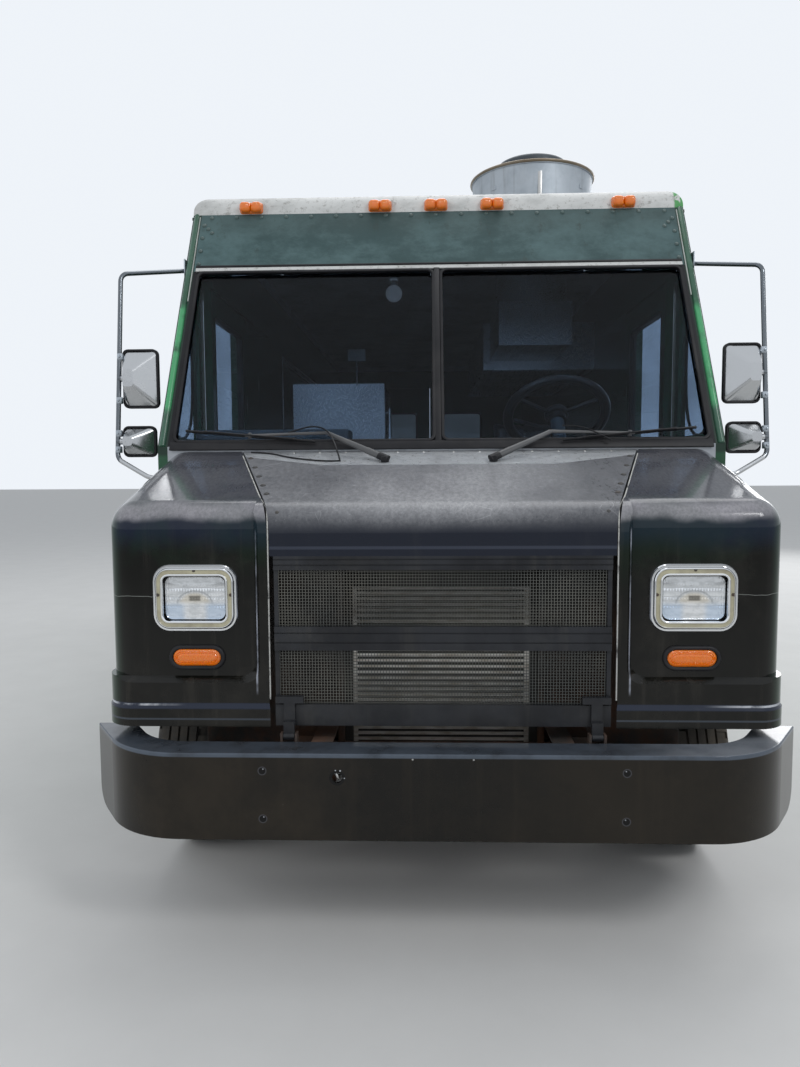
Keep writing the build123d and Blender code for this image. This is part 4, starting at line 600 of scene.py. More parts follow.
# The grey haze is partly sun-faded paint and partly painted sky sheen; it covers the back of the slope and is
# strongest at the middle.
back_part = remap(tree, wavy, 1.375, 1.462)
weave = mottled(tree, (70, 35, 70), 6, 0.3, 0.7, 0.55, 1, rough=0.8)
haze = times(tree, back_part, times(tree, weave, mottled(tree, (2, 1.5, 2), 3, 0.3, 0.65, 0.6, 1)))
inner_part = remap(tree, away(tree, place[0]), 0.62, 0.12, 0.6, 1)
haze = times(tree, haze, inner_part)
faded_and_sheen = blend_of(tree, haze, (0.007, 0.01, 0.02, 1), (0.36, 0.365, 0.38, 1))
flecks = mottled(tree, 90, 4, 0.62, 0.72, rough=0.8)
flecked = blend_of(tree, times(tree, times(tree, flecks, back_part), 0.35), faded_and_sheen, (0.62, 0.63, 0.65, 1))
fine_marks = add_node(tree, "ShaderNodeGroup", {"Density": 16.0, "Width": 0.004}, node_tree=scratches)
marked = blend_of(tree, times(tree, times(tree, fine_marks.outputs[0], back_part), 0.4), flecked,
    (0.5, 0.51, 0.53, 1))
dark_run = mottled(tree, (9, 1.2, 1), 6, 0.55, 0.7)
stained = blend_of(tree, times(tree, dark_run, 0.2), marked, (0.03, 0.032, 0.037, 1))
# A painted bluish highlight along the hood's crease.
crease_highlight = band(tree, place[2], 1.329, 1.335, 0.004)
stained = blend_of(tree, times(tree, crease_highlight, 0.5), stained, (0.06, 0.07, 0.1, 1))
fill(shader, {"Base Color": stained, "Roughness": remap(tree, haze, 0, 1, 0.22, 0.5), "Specular IOR Level": 0.3,
    "Coat Weight": 0.1, "Coat Roughness": 0.2})
grained(tree, shader, 120, 0.0003)

# %% Cooler, bright tubes over dark fins
cooler_metal, tree, shader = new_finish("cooler_metal")
place = xyz(tree)
proud = remap(tree, place[1], -3.3475, -3.3455, 1, 0)
inward = away(tree, place[0])
core = times(tree, remap(tree, inward, 0.318, 0.314), remap(tree, place[2], 1.168, 1.164))
tube = times(tree, proud, core)
# Painted shade: the tubes are darker towards the top, under the hood.
shaded = remap(tree, place[2], 1.0, 1.06, 1, 0.3)
fins = add_node(tree, "ShaderNodeTexWave", {"Vector": own_place(tree), "Scale": 70.0, "Distortion": 0.6,
    "Detail": 2.0}, bands_direction="X")
finned = blend_of(tree, fins.outputs[1], (0.006, 0.006, 0.006, 1), (0.04, 0.036, 0.032, 1))
silver = blend_of(tree, mottled(tree, (14, 14, 60), 6, 0.4, 0.65), (0.75, 0.73, 0.69, 1), (0.5, 0.45, 0.38, 1))
fill(shader, {"Base Color": blend_of(tree, times(tree, tube, shaded), finned, silver),
    "Roughness": remap(tree, tube, 0, 1, 0.8, 0.4), "Metallic": remap(tree, tube, 0, 1, 0.2, 0.8)})
grained(tree, shader, 120, 0.0006)

# %% [markdown]
# ## Green walls and the faded header
# The walls keep a dark green gloss, and painted shade darkens their raked front edges above the nose. The
# raked header above the windshield has weathered to a grey green with dark stains and turns darker towards
# the roof's edge, and the roof's rolled edge is off-white, chalky and dirty, with old green showing at its
# corner. The header is part of the windshield's frame, so its paint changes with height.

# %% Greens
body_green = coat("body_green", (0.01, 0.07, 0.03), (0.018, 0.095, 0.045), (0.1, 0.1, 0.08), 0.12, 0.2, 0.3,
    0.2, 0.5, 0, 16, 0.0006, 1.2, 0.4)
edge_at_ground = -3.838


def raked_edge_shade(tree, x, y, z):
    """The walls' raked front edge above the nose, which painted shade darkens."""
    level = worked(tree, "MULTIPLY_ADD", z, -tan(rake), -edge_at_ground)
    behind = worked(tree, "ADD", y, level)
    return times(tree, remap(tree, behind, 0.03, 0.02), remap(tree, z, 1.64, 1.66))


# Painted shade on the walls' raked front edges.
painted_over(body_green, raked_edge_shade, (0.006, 0.028, 0.016))
header_green, tree, shader = new_finish("header_green")
height = xyz(tree)[2]
chalk = mottled(tree, (3.2, 3.2, 5), 8, 0.36, 0.66, rough=0.7)
weathered = blend_of(tree, chalk, (0.03, 0.066, 0.068, 1), (0.085, 0.145, 0.15, 1))
stain = mottled(tree, (14, 14, 3), 7, 0.57, 0.7, rough=0.75)
weathered = blend_of(tree, times(tree, stain, 0.6), weathered, (0.03, 0.045, 0.04, 1))
# Darker towards the roof's edge.
darker_top = remap(tree, height, 2.62, 2.8)
weathered = blend_of(tree, times(tree, darker_top, 0.35), weathered, (0.045, 0.06, 0.055, 1))
fill(shader, {"Base Color": weathered, "Roughness": remap(tree, chalk, 0, 1, 0.4, 0.62),
    "Specular IOR Level": 0.3})
grained(tree, shader, 60, 0.0005)
painted_over(header_green, lambda tree, x, y, z: remap(tree, z, 2.499, 2.497), (0.006, 0.006, 0.008))

# %% Roof paint
roof_white, tree, shader = new_finish("roof_white")
speckle = mottled(tree, 38, 6, 0.53, 0.66, rough=0.8)
cloud = mottled(tree, (3, 3, 6), 8, 0.42, 0.7, rough=0.7)
chalky = blend_of(tree, cloud, (0.62, 0.63, 0.62, 1), (0.42, 0.43, 0.42, 1))
dirty = blend_of(tree, times(tree, speckle, 0.55), chalky, (0.16, 0.15, 0.13, 1))
axes = xyz(tree)
corner = times(tree, remap(tree, axes[1], -2.26, -2.3),
    times(tree, remap(tree, axes[0], 1.105, 1.115), mottled(tree, 18, 5, 0.4, 0.46)))
fill(shader, {"Base Color": blend_of(tree, corner, dirty, (0.06, 0.3, 0.08, 1)),
    "Roughness": remap(tree, speckle, 0, 1, 0.5, 0.8)})
grained(tree, shader, 45, 0.001)

# %% [markdown]
# ## Glass, chrome, lenses and rubber
# Window glass has a bluish tint, and a film of dust takes some of its light in places. Chrome is a bright
# metal that has started to dull. A lamp lens is coloured plastic under a gloss coat, with moulded ribs,
# and a little light spreads inside it. Rubber is dark, rough and dusty.

# %% Glass
def clear_glass(name, tint, dust=0.25, bend=1.45):
    """Window glass with a film of dust on it, which takes some of the light."""
    finish, tree, shader = new_finish(name)
    fill(shader, {"Transmission Weight": 1.0, "IOR": bend})
    film = mottled(tree, 2.5, 3, 0.35, 0.75, rough=0.5)
    dusty = (*(part * (1 - dust) for part in tint), 1)
    fill(shader, {"Base Color": blend_of(tree, film, (*tint, 1), dusty), "Roughness": 0.0})
    return finish


window_glass = clear_glass("window_glass", (0.4, 0.49, 0.6), 0.25, 1.2)
tinted_glass = clear_glass("tinted_glass", (0.06, 0.07, 0.075))

# %% Sealed beam, a silvered lamp behind pressed glass, with painted reflections
lamp_glass, tree, shader = new_finish("lamp_glass")
place = xyz(tree)
off_x = worked(tree, "SUBTRACT", away(tree, place[0]), lamp_x)
off_z = worked(tree, "SUBTRACT", place[2], lamp_z)
# Painted light in the silvered bowl: painted shade at its top, a warm painted reflection of its dome with a
# darker rim, and a bluish painted reflection in its lower outer corners. The dark spot at its middle is the
# bulb.
top_shade = remap(tree, off_z, 0.03, 0.055)
near_bulb = times(tree, remap(tree, away(tree, off_x), 0.024, 0.014),
    remap(tree, away(tree, off_z), 0.012, 0.005))
ripple = mottled(tree, (45, 45, 90), 4, 0.4, 0.62)
silver = blend_of(tree, times(tree, ripple, 0.5), (0.86, 0.88, 0.9, 1), (0.5, 0.52, 0.53, 1))
silver = blend_of(tree, times(tree, top_shade, 0.55), silver, (0.2, 0.2, 0.19, 1))
dome_x = times(tree, away(tree, off_x), 1 / 0.116)
dome_z = times(tree, sum_of(tree, "ADD", off_z, 0.02), 1 / 0.088)
from_centre = sum_of(tree, "ADD", times(tree, dome_x, dome_x), times(tree, dome_z, dome_z))
dome_reflection = times(tree, remap(tree, from_centre, 0.25, 0.12), remap(tree, off_z, -0.024, -0.006))
dome_edge = times(tree, band(tree, from_centre, 0.24, 0.27, 0.03), remap(tree, off_z, -0.024, -0.012))
silver = blend_of(tree, times(tree, dome_reflection, 0.5), silver, (0.75, 0.64, 0.45, 1))
silver = blend_of(tree, times(tree, dome_edge, 0.35), silver, (0.16, 0.17, 0.17, 1))
sky_corner = times(tree, remap(tree, off_z, -0.008, -0.03), remap(tree, away(tree, off_x), 0.025, 0.05))
silver = blend_of(tree, times(tree, sky_corner, 0.6), silver, (0.5, 0.65, 0.85, 1))
silver = blend_of(tree, times(tree, near_bulb, 0.8), silver, (0.1, 0.09, 0.07, 1))
fill(shader, {"Base Color": silver, "Roughness": remap(tree, ripple, 0, 1, 0.1, 0.22), "Metallic": 0.85,
    "Coat Weight": 1.0})
flutes = add_node(tree, "ShaderNodeTexWave", {"Vector": own_place(tree), "Scale": 34.0, "Distortion": 0.0},
    bands_direction="X")
blocks = add_node(tree, "ShaderNodeTexWave", {"Vector": own_place(tree), "Scale": 11.0, "Distortion": 0.0},
    bands_direction="Z")
raised(tree, shader, sum_of(tree, "ADD", flutes.outputs[1], blocks.outputs[1]), 0.002, 0.55)

# %% Chrome
def bright_metal(name, colour, polish, dull, pits):
    """Chrome or polished metal with pits and dull places."""
    finish, tree, shader = new_finish(name)
    spots = mottled(tree, 60, 5, 0.62, 0.72, rough=0.8)
    tarnish = mottled(tree, 8, 8, 0.45, 0.75, rough=0.7)
    darker = tuple(part * 0.45 for part in colour)
    fill(shader, {"Base Color": blend_of(tree, times(tree, spots, pits), (*colour, 1), (*darker, 1)),
        "Roughness": remap(tree, tarnish, 0, 1, polish, dull), "Metallic": 1.0})
    grained(tree, shader, 30, 0.0002)
    return finish


chrome = bright_metal("chrome", (0.78, 0.79, 0.8), 0.05, 0.25, 0.5)
mirror_silver = bright_metal("mirror_silver", (0.86, 0.88, 0.89), 0.02, 0.05, 0.0)
tube_steel = bright_metal("tube_steel", (0.42, 0.46, 0.5), 0.3, 0.5, 0.6)
mirror_metal = bright_metal("mirror_metal", (0.5, 0.51, 0.52), 0.2, 0.38, 0.5)
painted_over(mirror_metal, lambda tree, x, y, z: sum_of(tree, "MAXIMUM",
    remap(tree, away(tree, x), 1.352, 1.3535), band(tree, z, 2.2, 3.0, 0.01)), (0.15, 0.165, 0.18))
old_zinc = bright_metal("old_zinc", (0.45, 0.45, 0.44), 0.35, 0.6, 0.7)
bezel_cream = coat("bezel_cream", (0.5, 0.47, 0.33), (0.38, 0.35, 0.25), (0.14, 0.11, 0.08), 0.35, 0.15, 0.1,
    0.35, 0.6, 0.2, 70, 0.0004, 14)

# %% Brushed steel
def brushed(name, colour, along):
    """Stainless sheet with a grain that runs one way."""
    finish, tree, shader = new_finish(name)
    hair = noise(tree, along, 3, 0.7)
    smear = mottled(tree, 3, 6, 0.45, 0.7)
    fill(shader, {"Base Color": blend_of(tree, times(tree, smear, 0.4), (*colour, 1),
        tuple(part * 0.6 for part in colour) + (1,)), "Roughness": remap(tree, hair, 0.3, 0.7, 0.22, 0.42),
        "Metallic": 1.0})
    raised(tree, shader, hair, 0.0002, 0.5)
    return finish


kitchen_steel = brushed("kitchen_steel", (0.6, 0.61, 0.62), (200, 4, 200))
fan_spun = brushed("fan_spun", (0.55, 0.6, 0.64), (5, 5, 160))

# %% Cowl
cowl_metal = coat("cowl_metal", (0.4, 0.42, 0.45), (0.32, 0.34, 0.37), (0.2, 0.2, 0.2), 0.25, 0.35, 0, 0.35,
    0.6, 0.5, 40, 0.0003, 7)
painted_over(cowl_metal, lambda tree, x, y, z: times(tree, remap(tree, y, -2.938, -2.942),
    mottled(tree, (12, 30, 12), 8, 0.3, 0.55, rough=0.75)), (0.5, 0.52, 0.54))
painted_over(cowl_metal, lambda tree, x, y, z: times(tree, remap(tree, y, -2.938, -2.942),
    mottled(tree, 60, 6, 0.58, 0.64, rough=0.8)), (0.06, 0.055, 0.05))

# %% Lenses
def coloured_lens(name, colour, ribs, axis="X"):
    """Coloured plastic with moulded ribs, faded by the sun."""
    finish, tree, shader = new_finish(name)
    faded = mottled(tree, 30, 5, 0.4, 0.7)
    pale = tuple(part * 0.85 + 0.05 for part in colour)
    fill(shader, {"Base Color": blend_of(tree, times(tree, faded, 0.25), (*colour, 1), (*pale, 1)),
        "Roughness": 0.15, "Coat Weight": 0.6, "Subsurface Weight": 0.25,
        "Subsurface Radius": (0.01, 0.004, 0.001)})
    rib = add_node(tree, "ShaderNodeTexWave", {"Vector": own_place(tree), "Scale": ribs, "Distortion": 0.0},
        bands_direction=axis)
    raised(tree, shader, rib.outputs[0], 0.0015, 0.6)
    return finish


amber_lens = coloured_lens("amber_lens", (0.85, 0.19, 0.002), 60)
red_lens = coloured_lens("red_lens", (0.55, 0.012, 0.012), 50)
rubber_black = coat("rubber_black", (0.009, 0.009, 0.011), (0.018, 0.018, 0.02), (0.09, 0.085, 0.08), 0.15,
    0.05, 0.2, 0.45, 0.7, 0, 140, 0.0004, 4, 0.25)
tyre_rubber = coat("tyre_rubber", (0.02, 0.02, 0.02), (0.035, 0.034, 0.032), (0.13, 0.11, 0.085), 0.25, 0, 0.5,
    0.7, 0.9, 0, 160, 0.0007)

# %% [markdown]
# ## Finishes on the solids
# Each solid from the frame gets the finish of its real piece. Its mesh stays as it is: only the material
# in its slot changes.

# %% Finishes by solid
walls = "side_wall_left side_wall_right serving_hatch cab_door_left cab_door_right"
back_end = "rear_frame rear_door_left rear_door_right"
finish_of = {}
for finish, names in (
        (frame_black, "chassis_frame front_axle tie_rod"), (cast_iron, "rear_axle power_train"),
        (knuckle_iron, "leaf_springs knuckle_left knuckle_right"), (tank_metal, "fuel_tank"),
        (exhaust_metal, "exhaust_system"), (cooler_metal, "cooling_pack"), (hood_black, "hood"),
        (fender_black, "fender_left fender_right"), (grille_paint, "grille"), (bumper_paint, "front_bumper"),
        (floor_tread, "floor"), (body_green, walls + " " + back_end), (roof_white, "roof"),
        (header_green, "windshield_frame"), (cowl_metal, "firewall"), (step_black, "rear_step"),
        (window_glass, "cab_glass door_glass_left door_glass_right"), (chrome, "headlamp_bezels"),
        (tinted_glass, "rear_door_glass_left rear_door_glass_right"), (lamp_glass, "headlamp_lenses"),
        (rubber_black, "lamp_grommets"), (amber_lens, "signal_lamps"), (red_lens, "tail_lamps"),
        (mirror_metal, "mirrors"), (wiper_paint, "wipers"), (galvanised, "exhaust_fan"),
        (fan_spun, "fan_wheel"), (dash_paint, "dashboard"), (wheel_black, "steering_wheel"),
        (seat_steel, "seat_pedestal seat_cushions"), (kitchen_steel, "kitchen_units kitchen_hood"),
        (rim_silver, "front_rim_left front_rim_right rear_rims_left rear_rims_right"),
        (tyre_rubber, "front_tyre_left front_tyre_right rear_tyres_left rear_tyres_right")):
    finish_of.update(dict.fromkeys(names.split(), finish))
for name, solid in nodes.items():
    for place in solid.material_slots:
        place.material = finish_of[name]
print("finished solids:", len(nodes))

# %% [markdown]
# ## Wire mesh behind the grille
# Two panels of woven wire close the openings between the bars. A real weave has hundreds of crossings,
# so one straight wire of six sides is made for each direction and an array repeats it. The upright wires
# stand in front of the level ones by a wire's thickness, as pressed mesh does.


def finished(piece, finish, smooth=30, body="truck_body"):
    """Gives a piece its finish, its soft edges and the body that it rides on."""
    only(piece)
    if smooth:
        bpy.ops.object.shade_smooth_by_angle(angle=radians(smooth))
    piece.data.materials.clear()
    piece.data.materials.append(finish)
    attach(piece, body)
    return piece

# %% Mesh panels
mesh_wire, mesh_pitch = 0.0011, 0.0098
mesh_y, mesh_half = -3.588, 0.536
panels = []
for low, high in ((1.066, 1.265), (0.806, 0.998)):
    upright = bar("upright", (-mesh_half, mesh_y, low), (-mesh_half, mesh_y, high), mesh_wire, 6)
    row(upright, (mesh_pitch, 0, 0), int(2 * mesh_half / mesh_pitch) + 1)
    level = bar("level", (-mesh_half, mesh_y + 2 * mesh_wire, low), (mesh_half, mesh_y + 2 * mesh_wire, low),
        mesh_wire, 6)
    row(level, (0, 0, mesh_pitch), int((high - low) / mesh_pitch) + 1)
    panels += [upright, level]
grille_mesh = finished(joined("grille_mesh", panels), mesh_paint, 0, body="hood")
print("mesh faces:", len(grille_mesh.data.polygons))

# %% [markdown]
# ## Windshield rubber and its lines
# Each pane sits in a black rubber strip. The strip is a ring with rounded corners that lies on the raked
# frame, so it is drawn flat, given thickness with a solidify modifier, rounded, and then leaned back by
# the rake. Under the header runs a black line over a white strip.

# %% Raked plane
def on_glass(x, up, out=0.0):
    """A point on the raked front: across, up along the slope, and out from it."""
    return Vector((x, cowl_y + up * sin(rake) - out * cos(rake), cowl_z + up * cos(rake) + out * sin(rake)))


def leaned(piece):
    """Tips a piece drawn upright at y 0 onto the raked front."""
    piece.data.transform(Matrix.Translation((0, cowl_y, cowl_z)) @ Matrix.Rotation(-rake, 4, "X"))
    return piece


def frame_ring(name, x0, x1, z0, z1, corner, width, depth, proud):
    """A rounded rectangular strip, drawn upright with its front face at y minus proud."""
    nothing_selected()
    middle = ((x0 + x1) / 2, -proud, (z0 + z1) / 2)
    bpy.ops.mesh.primitive_plane_add(size=1, location=middle, rotation=(pi / 2, 0, 0))
    piece = bpy.context.object
    piece.name = name
    piece.scale = (abs(x1 - x0), z1 - z0, 1)
    applied()
    edit(piece)
    everything()
    bpy.ops.mesh.bevel(offset=corner, segments=6, affect="VERTICES")
    bpy.ops.mesh.inset(thickness=width)
    bpy.ops.mesh.delete(type="FACE")
    everything()
    bpy.ops.mesh.normals_make_consistent(inside=False)
    done()
    piece.modifiers.new("depth", "SOLIDIFY").thickness = depth
    piece.modifiers["depth"].offset = 0
    rounded = piece.modifiers.new("rounded", "BEVEL")
    rounded.width, rounded.segments, rounded.limit_method = min(width, depth) * 0.3, 2, "ANGLE"
    only(piece)
    for step in ("depth", "rounded"):
        bpy.ops.object.modifier_apply(modifier=step)
    return piece

# %% Gaskets
pane_low, pane_high = 0.026, (header_z - cowl_z) / cos(rake) - 0.016
for name, x0, x1 in (("left", 0.018, 1.086), ("right", -1.086, -0.018)):
    gasket = leaned(frame_ring(f"windshield_gasket_{name}", x0 - 0.005, x1 + 0.008, pane_low - 0.012,
        pane_high + 0.008, 0.034, 0.013, 0.014, 0.003))
    finished(gasket, rubber_black)
divider = leaned(block("windshield_divider", (-0.0125, -0.009, pane_low - 0.01),
    (0.0125, -0.002, pane_high + 0.012), 0.003))
finished(divider, rubber_black)
base_strip = leaned(block("windshield_base", (-1.1, -0.009, -0.02), (1.1, 0.0, pane_low - 0.008), 0.004))
finished(base_strip, rubber_black)
header_up = (header_z - cowl_z) / cos(rake)
bead = leaned(block("header_bead", (-1.1, -0.013, header_up + 0.012), (1.1, 0.0, header_up + 0.023), 0.004))
finished(bead, rubber_black)
white_strip = leaned(block("header_strip", (-1.1, -0.008, header_up - 0.007), (1.1, 0.0, header_up + 0.012),
    0.002))
finished(white_strip, roof_white)
print("raked front height:", round(header_up, 3))

# %% [markdown]
# ## Pillar mouldings
# A half-round aluminium moulding, painted dark green with a streak of painted highlight along its middle
# height, runs down the outside of each front pillar and hides the joint between the side wall and the raked
# front. A thin pale line of sealer lies beside it.

# %% Half-round mouldings
moulding_green = coat("moulding_green", (0.02, 0.085, 0.045), (0.045, 0.12, 0.08), (0.05, 0.1, 0.06), 0.25, 0.2,
    0, 0.25, 0.5, 0, 40, 0.0004, 5)
# A painted highlight streaks the moulding between 1.86 and 2.3 m up; its green base is darker.
painted_over(moulding_green, lambda tree, x, y, z: times(tree, band(tree, z, 1.86, 2.3, 0.04),
    mottled(tree, 8, 5, 0.3, 0.5)), (0.07, 0.36, 0.15))
sealer_pale = coat("sealer_pale", (0.55, 0.57, 0.55), (0.4, 0.42, 0.4), road_dirt, 0.3, 0.2, 0, 0.5, 0.7)
for name, side in SIDES:
    low, high = on_glass(side * 1.132, 0.0), on_glass(side * 1.132, 1.26)
    moulding = bar(f"pillar_moulding_{name}", low, high, 0.0135, 16, 0.004)
    finished(moulding, moulding_green)
    line = bar(f"pillar_sealer_{name}", on_glass(side * 1.117, 0.75), on_glass(side * 1.117, 1.25), 0.003, 8)
    finished(line, sealer_pale)
print("mouldings end at z:", round(high.z, 3))

# %% [markdown]
# ## Rivets
# The skin is held by dome-headed rivets. One low dome is modelled from a sphere that is cut at its
# middle, and every rivet is a copy of that dome, turned to the surface that it sits on. They are joined
# into one piece for each side of the truck that they ride on.

# %% One dome
nothing_selected()
bpy.ops.mesh.primitive_uv_sphere_add(segments=10, ring_count=6, radius=1)
dome = bpy.context.object
dome.name = "rivet_dome"
edit(dome)
everything()
bpy.ops.mesh.bisect(plane_co=(0, 0, 0), plane_no=(0, 0, 1), clear_inner=True, use_fill=True)
done()
dome_points = [tuple(point.co) for point in dome.data.vertices]
dome_faces = [tuple(face.vertices) for face in dome.data.polygons]
bpy.data.objects.remove(dome)


def rivets(name, places, radius=0.0065, height=0.0035):
    """Domes at (point, facing) places, in one mesh."""
    points, faces = [], []
    for place, facing in places:
        turn = Vector(facing).to_track_quat("Z", "Y").to_matrix()
        start = len(points)
        points += [Vector(place) + turn @ Vector((x * radius, y * radius, z * height))
            for x, y, z in dome_points]
        faces += [tuple(start + corner for corner in face) for face in dome_faces]
    return from_points(name, points, [], faces)

# %% Header rivets
roof_edge_up = (roof_edge_z - cowl_z) / cos(rake)
places = [(on_glass(-1.06 + 0.1178 * i, roof_edge_up - 0.02), raked_out) for i in range(19)]
for side in (1, -1):
    places += [(on_glass(side * (1.09 - 0.02 * i), roof_edge_up - 0.065 - 0.024 * i), raked_out)
        for i in range(3)]
    places += [(on_glass(side * 1.092, header_up + 0.04 + 0.078 * i), raked_out) for i in range(4)]
rivet_green = coat("rivet_green", (0.05, 0.09, 0.085), (0.09, 0.13, 0.125), soot, 0.3, 0.2, 0, 0.3, 0.6)
finished(rivets("header_rivets", places, 0.0105, 0.0075), rivet_green, 60)
print("header rivets:", len(places))

# %% [markdown]
# ## Headlamps
# A rectangular sealed beam sits in a stepped bezel: a chrome outer edge, a flat painted ring, a chrome
# inner lip and a dark gap. A rounded rectangle is inset again and again, each inset with its own depth,
# which draws all the steps from one face. The sealed beam is one silvered piece, domed step by step, and
# its pressed flutes are bump; the reflections in its silvered bowl are painted into its colour.

# %% Stepped form
def rounded_face(name, wide, high, corner, segments=7):
    """An upright rounded rectangle at the origin that faces forward, open in edit mode and selected."""
    nothing_selected()
    bpy.ops.mesh.primitive_plane_add(size=1, location=(0, 0, 0), rotation=(pi / 2, 0, 0))
    piece = bpy.context.object
    piece.name = name
    piece.scale = (wide, high, 1)
    applied()
    edit(piece)
    everything()
    bpy.ops.mesh.bevel(offset=corner, segments=segments, affect="VERTICES")
    everything()
    return piece


def stepped(piece, place, steps):
    """Insets the selected face by (thickness, depth) steps, then carries the piece to its place."""
    for thickness, depth in steps:
        if thickness:
            bpy.ops.mesh.inset(thickness=thickness, depth=depth)
        else:
            bpy.ops.mesh.extrude_region_move(TRANSFORM_OT_translate={"value": (0, -depth, 0)})
    done()
    piece.data.transform(Matrix.Translation(place))
    return piece


def drawn_in(piece, place, wide, high, steps):
    """Extrudes the selected face by (margin, depth) steps, smaller by the margin all round each time."""
    half_wide, half_high = wide / 2, high / 2
    for margin, depth in steps:
        bpy.ops.mesh.extrude_region_move(TRANSFORM_OT_translate={"value": (0, -depth, 0)})
        bpy.ops.transform.resize(value=((half_wide - margin) / half_wide, 1, (half_high - margin) / half_high),
            center_override=(0, 0, 0))
        half_wide, half_high = half_wide - margin, half_high - margin
    done()
    piece.data.transform(Matrix.Translation(place))
    return piece


def second_finish(piece, finish, test):
    """Gives the faces that pass a test on centre and normal another finish."""
    piece.data.materials.append(finish)
    for face in piece.data.polygons:
        if test(face.center, face.normal):
            face.material_index = len(piece.data.materials) - 1

# %% Bezels and lenses
gap_black = coat("gap_black", (0.008, 0.008, 0.008), (0.015, 0.015, 0.015), road_dirt, 0.2, 0, 0, 0.6, 0.9)
for name, side in SIDES:
    x = side * lamp_x
    bezel = stepped(rounded_face(f"headlamp_bezel_{name}", 0.282, 0.222, 0.056), (x, panel_y + 0.002, lamp_z),
        ((0, 0.012), (0.003, 0.004), (0.005, 0.0), (0.003, 0.006), (0.003, 0.003), (0.002, 0.0),
        (0.0015, -0.003), (0.011, 0.0), (0.0015, 0.004), (0.003, 0.001), (0.003, -0.002), (0.001, -0.012),
        (0.002, -0.012)))
    finished(bezel, chrome, 25)
    flat_y = panel_y + 0.002 - 0.022
    second_finish(bezel, bezel_cream, lambda at, facing: facing.y < -0.98 and abs(at.y - flat_y) < 0.0008)
    second_finish(bezel, gap_black, lambda at, facing: facing.y < -0.9 and at.y > panel_y - 0.008
        and abs(at.x - x) < 0.12 and abs(at.z - lamp_z) < 0.09)
    lens = drawn_in(rounded_face(f"headlamp_lens_{name}", 0.2, 0.142, 0.024), (x, panel_y - 0.004, lamp_z), 0.2,
        0.142, ((0, 0.004), (0.003, 0.002), (0.006, 0.0008), (0.012, 0.0015), (0.02, 0.001), (0.022, 0.0004)))
    finished(lens, lamp_glass, 50)
    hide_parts("headlamp_lenses")
    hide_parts("headlamp_bezels")
    screws = [bar("screw", (x + dx, flat_y + 0.004, lamp_z + dz), (x + dx, flat_y - 0.002, lamp_z + dz), 0.0055,
        10, 0.001) for dx, dz in ((0, 0.093), (-0.121, 0.012), (0.121, 0.012))]
    finished(joined(f"headlamp_screws_{name}", screws), cast_iron)
print("bezel stands out to y:", round(min(point.co.y for point in bezel.data.vertices), 4))

# %% [markdown]
# ## Turn lamps, clearance lamps and markers
# The turn lamps are amber ovals with moulded rings in a fat rubber grommet. The roof lamps have two
# rounded lobes on one base. All of them stand where the frame's plain lamps are, and take their place.

# %% Turn lamps in their grommets
turn_z = 0.965
for name, side in SIDES:
    x = side * lamp_x
    grommet = drawn_in(rounded_face(f"turn_grommet_{name}", 0.19, 0.084, 0.0415, 10),
        (x, panel_y + 0.002, turn_z), 0.19, 0.084, ((0, 0.005), (0.003, 0.005), (0.003, 0.0015), (0.004, 0.0),
        (0.003, -0.002), (0.001, -0.007)))
    finished(grommet, rubber_black, 60)
    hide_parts("lamp_grommets")
    oval = drawn_in(rounded_face(f"turn_lens_{name}", 0.158, 0.055, 0.0274, 10), (x, panel_y, turn_z), 0.158,
        0.055, ((0, 0.005), (0.003, 0.003), (0.004, 0.002), (0.0015, -0.002), (0.0035, 0.003), (0.0015, -0.002),
        (0.004, 0.002), (0.004, 0.0005)))
    finished(oval, amber_lens, 35)

# %% Roof lamps, twin-lobed
lobes, bases = [], []
for x in (-0.873, -0.263, 0, 0.263, 0.873):
    bases.append(block("base", (x - 0.055, -2.35, 2.802), (x + 0.055, -2.322, 2.854), 0.012, 4))
    for part in (-1, 1):
        middle = x + part * 0.0265
        lobe = block("lobe", (middle - 0.0265, -2.3725, 2.803), (middle + 0.0265, -2.333, 2.853), 0.018, 5)
        lobes.append(lobe)
roof_lenses = finished(joined("roof_lamp_lenses", lobes), amber_lens, 60)
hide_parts("signal_lamps")
finished(joined("roof_lamp_bases", bases), amber_lens, 40)

# %% Side markers
for name, side in SIDES:
    face_x = side * 1.124
    base = block(f"side_marker_base_{name}", (face_x, -3.445, 0.972), (face_x + side * 0.007, -3.315, 1.028),
        0.0032)
    finished(base, rubber_black)
    lens = block(f"side_marker_lens_{name}", (face_x, -3.438, 0.979), (face_x + side * 0.018, -3.322, 1.021),
        0.0085, 4)
    finished(lens, amber_lens, 60)

# %% Tail lamps and rear markers
tails, rims, red_lobes = [], [], []
for side in (1, -1):
    for z in (0.9, 1.04):
        x = side * 0.99
        rims.append(ring("rim", (x, 3.515, z), (0, 1, 0), 0.0455, 0.0053, 36, 8))
        tails.append(bar("lens", (x, 3.5095, z), (x, 3.52, z), 0.0425, 36, 0.003))
        for radius in (0.012, 0.022, 0.032):
            tails.append(ring("rib", (x, 3.5195, z), (0, 1, 0), radius, 0.0022, 30, 6))
        tails.append(bar("middle", (x, 3.515, z), (x, 3.5235, z), 0.006, 14, 0.002))
for x in (-0.96, -0.22, 0, 0.22, 0.96):
    rims.append(block("marker_base", (x - 0.049, 3.5095, 2.693), (x + 0.049, 3.515, 2.737), 0.002))
    for part in (-1, 1):
        red_lobes.append(block("lobe", (x + part * 0.0235 - 0.021, 3.514, 2.696),
            (x + part * 0.0235 + 0.021, 3.526, 2.734), 0.005, 3))
tail_lenses = finished(joined("tail_lenses", tails + red_lobes), red_lens, 50)
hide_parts("tail_lamps")
finished(joined("tail_lamp_rims", rims), rubber_black)

